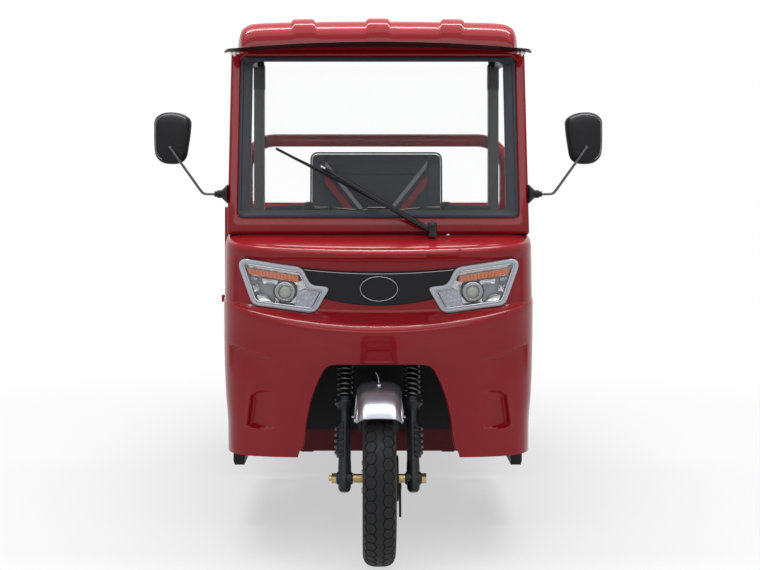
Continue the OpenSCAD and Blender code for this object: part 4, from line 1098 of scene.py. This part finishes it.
def makeTyre(name, node, body, centre):
    rim, bead, h = tyreForm["rim"], tyreForm["bead"], tyreForm["radius"] - tyreMiddle
    section = [(rim + 0.3, bead), (rim + 9, bead + 2.4)]
    for deg in np.linspace(-40, 220, 53):
        c, s = math.cos(math.radians(deg)), math.sin(math.radians(deg))
        r = tyreMiddle + math.copysign(h * abs(s) ** tyreForm["crownBend"], s)
        x = math.copysign(tyreForm["wide"] / 2 * abs(c) ** tyreForm["sideBend"], c)
        if s > 0.3:
            r -= tyreForm["tread"] * float(1 - between(40, 44, abs(x)))
        if abs(deg % 180 - 16) < 3 or abs(deg % 180 - 164) < 3:     # fine line round the wall
            r += 0.9
        section.append((r, x))
    section += [(rim + 9, -bead - 2.4), (rim + 0.3, -bead)]
    Shape().spun(section, centre, "x", 112).piece(name, "TyreRubber", body, [node], sharp=50)
    count = tyreForm["pitches"]
    repeated(name + "Tread", treadPitch(name + "Pitch"), count, "TyreTread", body, turn=math.tau / count,
             move=Matrix.Translation(at(*centre)), sharp=35)
    x, y, z = centre
    valve = [(x + 8, y + 100, z + 103), (x + 16, y + 96, z + 99), (x + 34, y + 92, z + 95)]
    Shape().tube(spline(valve, 4), [4, 4, 4, 3.4, 3, 3, 3, 3, 3.6], 10).piece(name + "Valve", "BlackRubber", body)


rearX = joints["rear_wheel_left_spin"]["pos_m"][0] * 1000
rearAxle = (joints["rear_wheel_left_spin"]["pos_m"][1] - axleY) * 1000
wheels = [("FrontTyre", "front_tyre", "front_wheel", (0, 0, tyreForm["radius"])),
          ("RearTyreLeft", "rear_tyre_left", "rear_wheel_left", (rearX, rearAxle, tyreForm["radius"])),
          ("RearTyreRight", "rear_tyre_right", "rear_wheel_right", (-rearX, rearAxle, tyreForm["radius"]))]
for wheel in wheels:
    makeTyre(*wheel)
print("springs and tyres made")

# front mudguard: chromed sheet with rolled edges, wire stays and a thin feeler wire
guard = {"r": 283, "half": 63, "crown": 5, "turn": 16, "wall": 2.6, "rear": -70, "front": 42}


def guardPoint(x, deg, inset):
    share = abs(x) / guard["half"]
    r = guard["r"] - guard["crown"] * share ** 2 - guard["turn"] * share ** 7 - inset
    a = math.radians(deg)
    return (x, -r * math.sin(a), steer["axle"] + r * math.cos(a))


def makeGuard():
    xs = guard["half"] * np.sin(np.linspace(-math.pi / 2, math.pi / 2, 35))
    turns = np.linspace(guard["rear"], guard["front"], 57)
    wall = guard["wall"]

    def skin(top, under):
        return Shape().stack([[guardPoint(x, d, top) for x in xs] + [guardPoint(x, d, under) for x in xs[::-1]]
                              for d in turns])
    sheet = skin(0, wall / 2)
    skin(wall / 2 + 0.1, wall).piece("MudguardLining", "FrameBlack", "steering", sharp=50)
    for x in (-guard["half"], guard["half"]):
        sheet.tube([guardPoint(x, d, 1.4) for d in np.linspace(0, guard["front"], 24)], 2.2, 8)
    sheet.tube([guardPoint(x, guard["front"], 1.3) for x in xs], 2.0, 8)
    sheet.piece("FrontMudguard", "GuardChrome", "steering", ["front_mudguard"], sharp=50)
    stays = Shape()
    for s in (-1, 1):
        foot = (s * 70, 68, 418)
        stays.tube(spline([guardPoint(s * 61, 14, 6), (s * 66, -24, 470), (s * 71, 20, 424), foot], 6), 2.6, 8)
        stays.tube(spline([guardPoint(s * 61, -16, 6), (s * 67, 66, 470), foot], 6), 2.6, 8)
        stays.tube([(s * 66, 69, 418), (s * 80, 69, 418)], 3.4, 10)
        stays.block((s * 70 - 4, 60, 404), (s * 70 + 4, 76, 424))
    stays.piece("MudguardStays", "ZincBolt", "steering", sharp=45)
    feeler = Shape().tube(spline([guardPoint(0, 6, -2), (-3, -32, 552), (-10, -36, 566)], 6), 1.2, 6)
    feeler.spun([(0.3, 0), (6, 0), (6, 4), (3, 5.5), (0.3, 6)], guardPoint(0, 9, 0.5), "z", 14)
    feeler.piece("MudguardFeeler", "BrightLine", "steering")


makeGuard()
print("mudguard made")

# seat: blocks swollen by cloth pressure, then sewn with channels and piping
seat = {"half": 246, "front": 716, "back": 1030, "low": 656, "high": 716, "backHalf": 244, "backLow": 752,
        "backHigh": 1234, "backThick": 46, "backY": 1000, "corner": 24, "seam": 178, "backSeam": 188, "crossSeam": 0.84,
        "seamWide": 4.5, "voxel": 0.006, "pressure": 4.0, "cap": 0.015, "fill": 0.7, "channel": 0.006, "piping": 3.2}


def cushionPoint(u, v, w):
    return (u, seat["front"] + v, seat["low"] + w)


def backPoint(u, v, w):
    slim = 1 - 0.30 * v / (seat["backHigh"] - seat["backLow"])
    return (u, seat["backY"] + (v + 12) * backLine["lean"] - w * slim, seat["backLow"] + v)


def softBlock(name, place, half, long, thick):
    rows = []
    for inset, w in ((30, 0), (10, 0.5), (2, 8), (0, thick * 0.45), (2, thick - 16), (9, thick - 6), (24, thick - 1),
                     (60, thick)):
        loop = roundRect(half - inset, inset, long - inset, max(8, seat["corner"] - inset * 0.3))
        rows.append([place(u, v, w) for u, v in loop])
    return loose(Shape().stack(rows), name)


def swell(obj, pinned):
    mod = obj.modifiers.new("Voxels", "REMESH")
    mod.mode, mod.voxel_size = "VOXEL", seat["voxel"]
    settle(obj)
    start = [v.co.copy() for v in obj.data.vertices]
    group = obj.vertex_groups.new(name="seated")
    group.add([i for i, p in enumerate(start) if pinned(p)], 1.0, "REPLACE")
    cloth = obj.modifiers.new("Cloth", "CLOTH")
    cloth.settings.use_pressure = True
    cloth.settings.uniform_pressure_force = seat["pressure"]
    cloth.settings.effector_weights.gravity = 0
    cloth.settings.vertex_group_mass = "seated"
    for step in range(1, 21):
        scene.frame_set(step)
    settle(obj)
    scene.frame_set(1)
    for vert, was in zip(obj.data.vertices, start):
        move = vert.co - was
        if move.length > seat["cap"]:
            vert.co = was + move * (seat["cap"] / move.length)
    mod = obj.modifiers.new("Smooth", "SUBSURF")
    mod.levels = mod.render_levels = 1
    settle(obj)


# pulls the skin in along lines given as |distance| of a point in mm
def sew(obj, away, facing):
    data = obj.data
    normals = [v.normal.copy() for v in data.vertices]
    for vert, normal in zip(data.vertices, normals):
        if normal.dot(facing) > 0.25:
            x, y, z = vert.co.x * 1000, (vert.co.y - axleY) * 1000, vert.co.z * 1000
            vert.co -= normal * seat["channel"] * math.exp(-(away(x, y, z) / seat["seamWide"]) ** 2)


def makeSeat():
    long, thick = seat["back"] - seat["front"], seat["high"] - seat["low"]
    tall = seat["backHigh"] - seat["backLow"]

    # a cross seam counts only between the two long seams
    def cushionSeams(x, y, z):
        across = [abs(y - seat["front"] - k * long / 4) if abs(x) < seat["seam"] + 2 else 99 for k in (1, 2, 3)]
        return min(abs(abs(x) - seat["seam"]), *across)

    def backSeams(x, y, z):
        across = abs(z - seat["backLow"] - seat["crossSeam"] * tall) if abs(x) < seat["backSeam"] + 2 else 99
        return min(abs(abs(x) - seat["backSeam"]), across)
    cushion = softBlock("SeatCushion", cushionPoint, seat["half"], long, thick)
    floorZ = (seat["low"] + 3) / 1000
    swell(cushion, lambda p: p.z < floorZ)
    sew(cushion, cushionSeams, Vector((0, 0, 1)))
    finishPiece(cushion, "SeatCover", stands=["seat_cushion"], sharp=80)
    back = softBlock("SeatBack", backPoint, seat["backHalf"], tall, seat["backThick"])
    rear = seat["backY"] - 6
    swell(back, lambda p: (p.y - axleY) * 1000 > rear + (p.z * 1000 - seat["backLow"] + 12) * backLine["lean"])
    sew(back, backSeams, Vector((0, -1, 0.1)))
    finishPiece(back, "SeatCover", stands=["seat_back"], sharp=80)
    piping = Shape()
    for place, half, reach in ((cushionPoint, seat["half"], long), (backPoint, seat["backHalf"], tall)):
        path = [place(u, v, 9) for u, v in roundRect(half, 0, reach, seat["corner"])]
        piping.tube(path, seat["piping"], 8, closed=True)
    piping.piece("SeatPiping", "BlackRubber")


makeSeat()
print("seat made")

# handlebar ends: ribbed grips, switch pods and their buttons
bar = {"bend": (150, 418.4, 1030), "end": (360, 521.4, 1030), "grip": 132, "ribs": 14,
       "key": [(0.3, 25), (3.6, 25), (3.6, 27.4), (2.4, 28.2), (0.3, 28.4)]}


def makeGrip(sign, side):
    end, bend = (Vector((sign * x, y, z)) for x, y, z in (bar["end"], bar["bend"]))
    way = (end - bend).normalized()
    path, radii = [], []
    count = bar["ribs"] * 4
    for k in range(count + 1):
        share = k / count
        path.append(end + way * (4 - bar["grip"] * (1 - share)))
        radii.append(16.9 if share < 0.05 or share > 0.97 else 15.0 + 1.4 * (k % 4 in (1, 2)))
    Shape().tube(path, radii, 24).piece("Grip" + side, "BlackRubber", "steering", once(sign, "grips"), sharp=35)
    pod = Shape().tube([end - way * d for d in (167, 164, 134, 131)], [18, 20.6, 20.6, 18], 24)
    middle = end - way * 150
    pod.tube([middle + Vector((0, 2, d)) for d in (4, 20, 24, 26)], [17, 17, 15.5, 12], 20)
    pod.piece("SwitchPod" + side, "BlackPlastic", "steering", sharp=40)
    keys = Shape()
    for dx, dy in ((-7, 0), (7, 0), (0, 10)):
        keys.spun(bar["key"], middle + Vector((dx, dy, 0)), "z", 14)
    keys.piece("SwitchKeys" + side, "LampRed" if sign < 0 else "LampAmber", "steering")


for sign, side in bothSides:
    makeGrip(sign, side)

# dash: display in the binnacle, key switch, two plain knobs
dash = {"display": (68, 984, 1004), "rear": 292.3, "top": 987, "key": (128, 318), "dome": (-205, 318),
        "knob": (278, 318), "displaySteps": [(0, 0), (0, 2.4), (1, 3.4), (3, 3.4), (3.6, 2.2), (4, 2.2)],
        "lock": [(0.3, -2), (17, -2), (17, 3), (15, 5.5), (11, 6), (10.5, 4.5), (7, 4.5), (6.5, 8), (0.3, 8.4)],
        "domeForm": [(0.3, -2), (26, -2), (26, 3), (23.5, 5), (22, 9), (17, 14), (9, 17), (0.3, 18)],
        "knobForm": [(0.3, -2), (15, -2), (15, 4), (12, 8), (6, 10.5), (0.3, 11)]}
half, low, high = dash["display"]
Shape().stack([[(u, dash["rear"] + d, v) for u, v in roundRect(half - inset, low + inset, high - inset, 4)]
               for inset, d in dash["displaySteps"]]).piece("DashDisplay", "DashScreen", sharp=40)
kx, ky = dash["key"]
lock = Shape().spun(dash["lock"], (kx, ky, dash["top"]), "z", 32)
lock.block((kx - 1.4, ky - 10, dash["top"] + 8), (kx + 1.4, ky + 10, dash["top"] + 14))
lock.piece("KeySwitch", "Chrome", sharp=40)
knobs = Shape().spun(dash["domeForm"], (*dash["dome"], dash["top"]), "z", 36)
knobs.spun(dash["knobForm"], (*dash["knob"], dash["top"]), "z", 28).piece("DashKnobs", "GlossBlack", sharp=40)

# ribbed rubber mat and pedal rubber
floorMat = {"left": -262, "right": 376, "front": 444, "back": 688, "floor": 315.3, "thick": 2.6, "pitch": 24,
            "ribs": 26, "rib": [(14, 2.4), (16, 5.2), (22, 5.2), (24, 2.4)]}
left, front, back, floorZ = (floorMat[key] for key in ("left", "front", "back", "floor"))
Shape().block((left, front, floorZ), (floorMat["right"], back, floorZ + floorMat["thick"])
              ).piece("FloorMat", "BlackRubber", bevel=1)
rib = Shape().prism([(left + u, floorZ + v) for u, v in floorMat["rib"]], front + 10, back - 10)
repeated("FloorMatRibs", loose(rib, "matRib"), floorMat["ribs"], "BlackRubber", step=(floorMat["pitch"], 0, 0))
pedal = {"low": (470, 411), "high": (508, 443), "left": -327, "right": -273, "bars": 6}
left, right = pedal["left"], pedal["right"]
bars = Shape()
for k in range(pedal["bars"]):
    place = partWay(pedal["low"], pedal["high"], (k + 0.5) / pedal["bars"])
    bars.tube([(x, *place) for x in (left, left + 1, right - 1, right)], [1.4, 2.4, 2.4, 1.4], 8)
bars.piece("PedalRubber", "BlackRubber")
print("cab inside made")

# cargo bed: pressed floor ribs, rounded rail caps, gate latches
bed = {"front": 1122, "back": 2548, "floor": 690, "half": 573, "top": 1030, "ribs": 9, "pitch": 112, "rib": 62,
       "slope": 7, "high": 4}
middle, reach = -bed["pitch"] * (bed["ribs"] - 1) / 2, bed["rib"] / 2
rib = [(-reach, -0.5), (bed["slope"] - reach, bed["high"]), (reach - bed["slope"], bed["high"]), (reach, -0.5)]
rib = Shape().prism([(middle + u, bed["floor"] + v) for u, v in rib], bed["front"] + 26, bed["back"] - 22)
# bed floor ribs in the darker red copy, painted shade
repeated("BedFloorRibs", loose(rib, "bedRib"), bed["ribs"], "RedUnderPaint", step=(bed["pitch"], 0, 0))
caps = Shape()
for sign in (-1, 1):
    run = [(sign * (bed["half"] - 14), y, bed["top"] - 3) for y in np.linspace(bed["front"] - 1, bed["back"], 9)]
    caps.tube(run, [8] + [13.6] * 7 + [8], 20)
caps.piece("BedRailCaps", "RedPaint", sharp=50)
latch = {"x": (506, 562), "y": 2573.2, "z": 1012, "ears": (514, 552), "keeperX": (573.3, 578), "keeperY": (2506, 2548)}
face, z = latch["y"], latch["z"]
y = face + 10
pins, keepers = Shape(), Shape()
for sign in (-1, 1):
    pins.sideBlock(sign, latch["x"], (face, face + 3.5), (z - 13, z + 13))
    pins.tube([(sign * x, y, z) for x in (506, 508, 564, 569)], [5, 6, 6, 4], 14)
    handle = [(524, y, z), (524, y + 14, z), (526, y + 20, z - 8), (528, y + 20, z - 26)]
    pins.tube(spline([(sign * u, v, w) for u, v, w in handle], 5), 3.4, 10)
    for x in latch["ears"]:
        pins.block((sign * x - 4, face + 2, z - 9), (sign * x + 4, y + 8, z + 9))
    keepers.sideBlock(sign, latch["keeperX"], latch["keeperY"], (z - 14, z + 14))
    keepers.tube(spline([(sign * 578, 2526, z), (sign * 582, 2556, z), (sign * 580, 2583, z)], 6), 4.2, 10)
pins.piece("GateLatchPins", "ZincBolt", "drop_gate", bevel=1)
keepers.piece("GateLatchKeepers", "ZincBolt", bevel=1)

# rear lamps: frame and coloured segments
rearLamp = {"x": (440, 550), "z": (563, 612), "amber": (444, 474), "white": (516, 546),
            "frame": [(4, 2551), (4, 2574), (2.5, 2577.5), (0.8, 2577.5), (0.4, 2574), (0.4, 2551)],
            "lens": [(2570, 569), (2581.8, 569.5), (2585, 604), (2570, 605)]}
(a, b), (low, high) = rearLamp["x"], rearLamp["z"]
frames, ambers, whites = Shape(), Shape(), Shape()
for sign in (-1, 1):
    frames.hoop([[(sign * (a + b) / 2 + u, y, v) for u, v in roundRect((b - a) / 2 + grow, low - grow, high + grow, 8)]
                 for grow, y in rearLamp["frame"]])
    for shape, ends in ((ambers, rearLamp["amber"]), (whites, rearLamp["white"])):
        shape.prism(rearLamp["lens"], *sorted(sign * x for x in ends), "x")
frames.piece("RearLampFrames", "GlossBlack", sharp=40)
ambers.piece("RearLampAmber", "LampAmber", bevel=1.2)
whites.piece("RearLampWhite", "LampFrost", bevel=1.2)

# foot of the seat base, down to the sills behind the floor pan
(_, panBack, _), (_, postFront, _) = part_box("floor_pan")[1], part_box("cab_posts")[0]
feet = Shape()
for sign in (-1, 1):
    feet.sideBlock(sign, (404, 429.8), ((panBack - axleY) * 1000 - 3, (postFront - axleY) * 1000 - 0.5), (292, 315.4))
# seat base feet in the darker red copy, painted shade
feet.piece("SeatBaseFeet", "RedUnderPaint", bevel=0.8)

# spring clamps, motor fins and bolts
strap = [(199, 206), (199, 316), (201, 326), (208, 331), (230, 332), (252, 331), (259, 326), (261, 316), (261, 206)]
clamps = Shape()
for sign in (-1, 1):
    for dy in (-46, 46):
        clamps.tube([(sign * x, rearAxle + dy, z) for x, z in strap], 5, 10)
    clamps.sideBlock(sign, (190, 270), (rearAxle - 58, rearAxle + 58), (208, 216))
clamps.piece("SpringClamps", "SpringSteel", sharp=40)
fin = Shape().spun([(79, -138), (84, -138), (84, -134), (79, -134)], (0, rearAxle - 170, 270), "x", 64)
repeated("MotorFins", loose(fin, "motorFin"), 15, "FrameBlack", step=(15, 0, 0))
hub = {"bolts": 5, "ring": 44, "face": 46, "size": 6.5}
for name, _, body, (x, y, z) in wheels:
    side = 1 if x > 0 else -1
    turns = [math.tau * k / hub["bolts"] for k in range(hub["bolts"])]
    spots = [((x + side * hub["face"], y + hub["ring"] * math.cos(a), z + hub["ring"] * math.sin(a)), (side, 0, 0))
             for a in turns]
    boltsAt(name + "HubBolts", spots, hub["size"], body)
boltsAt("RearBolts", [((x, 2551.5, 586), (0, 1, 0)) for x in (-400, -250, 250, 400)], 8)
hinges = [((s * 420 + dx, 2582.5, 732), (0, 1, 0)) for s in (-1, 1) for dx in (-18, 18)]
boltsAt("HingeBolts", hinges, 6, "drop_gate")
print("bed and rear made")

# stage: pale floor that fades into a white surround, soft light mostly from above
view = {"distance": 3.8, "side": -0.0375, "height": 1.106, "focal": 1293, "sightX": 366.2, "sightY": 187, "wide": 760,
        "high": 570, "sensor": 36}
cam = bpy.data.cameras.new("Camera")
camObj = linked("Camera", cam)
camObj.location = (view["side"], axleY - view["distance"], view["height"])
camObj.rotation_euler = (math.radians(90), 0, 0)
cam.sensor_width = view["sensor"]
cam.lens = view["sensor"] * view["focal"] / view["wide"]
cam.shift_x = (view["wide"] / 2 - view["sightX"]) / view["wide"]
cam.shift_y = -(view["high"] / 2 - view["sightY"]) / view["wide"]
scene.camera = camObj

stage = {"size": 40, "color": 0.80, "near": 0.8, "far": 3.0, "haze": 0.55, "world": 0.15}
floorMesh = bpy.data.meshes.new("Floor")
reach = stage["size"]
floorMesh.from_pydata([(-reach, -reach, 0), (reach, -reach, 0), (reach, reach, 0), (-reach, reach, 0)], [],
                      [(0, 1, 2, 3)])
floor = linked("Floor", floorMesh)


def seenRays(wire):
    path = wire.tree.nodes.new("ShaderNodeLightPath")
    rays = [Wire(wire.tree, path.outputs[name]) for name in ("Is Camera Ray", "Is Glossy Ray", "Is Transmission Ray")]
    return wire.maths("MINIMUM", rays[0] + rays[1] + rays[2], 1.0)


def paleFloor():
    mat = bpy.data.materials.new("PaleFloor")
    mat.use_nodes = True
    tree = mat.node_tree
    shader = tree.nodes["Principled BSDF"]
    shader.inputs["Base Color"].default_value = (stage["color"],) * 3 + (1,)
    shader.inputs["Roughness"].default_value = 0.9
    wire = Wire(tree)
    away = wire.make("ShaderNodeVectorMath", {"operation": "LENGTH"}, {0: wire.make("ShaderNodeTexCoord", out=3)}, 1)
    fade = wire.make("ShaderNodeMapRange", None, {"Value": away, "From Min": stage["near"], "From Max": stage["far"],
                                                  "To Min": stage["haze"], "To Max": 1.0})
    white = wire.make("ShaderNodeEmission", None, {"Color": (1, 1, 1, 1), "Strength": 1.0})
    mix = wire.make("ShaderNodeMixShader", None, {0: fade * seenRays(wire), 1: Wire(tree, shader.outputs[0]), 2: white})
    under = wire.make("ShaderNodeNewGeometry", out=6)      # seen from below the floor is not there
    oneSided = wire.make("ShaderNodeMixShader", None, {0: under, 1: mix, 2: wire.make("ShaderNodeBsdfTransparent")})
    oneSided.feed(tree.nodes["Material Output"].inputs["Surface"])
    return mat


floorMesh.materials.append(paleFloor())
world = bpy.data.worlds.new("Studio")
scene.world = world
world.use_nodes = True
wire = Wire(world.node_tree)
background = world.node_tree.nodes["Background"]
glow = wire.make("ShaderNodeMix", {"data_type": "FLOAT"}, {0: seenRays(wire), 2: stage["world"], 3: 1.0})
glow.feed(background.inputs["Strength"])
background.inputs["Color"].default_value = (1, 1, 1, 1)


def areaLight(name, place, aim, size, power):
    data = bpy.data.lights.new(name, "AREA")
    data.shape = "RECTANGLE"
    data.size, data.size_y = size
    data.energy = power
    lamp = linked(name, data)
    lamp.location = place
    lamp.rotation_euler = (Vector(aim) - Vector(place)).to_track_quat("-Z", "Y").to_euler()


areaLight("Top", (0, -1.2, 4.4), (0, -0.4, 0.6), (4.5, 4), 90)
areaLight("Strip", (0, -0.6, 4.3), (0, -0.9, 0.6), (4.2, 0.4), 140)
areaLight("Sky", (0, -6.4, 4.3), (0, -1.0, 1.0), (8, 1.6), 88)
areaLight("Rear", (0, 4.5, 3.2), (0, 0.5, 0.8), (4, 2), 70)
scene.view_settings.view_transform = "Standard"
print("stage lit")
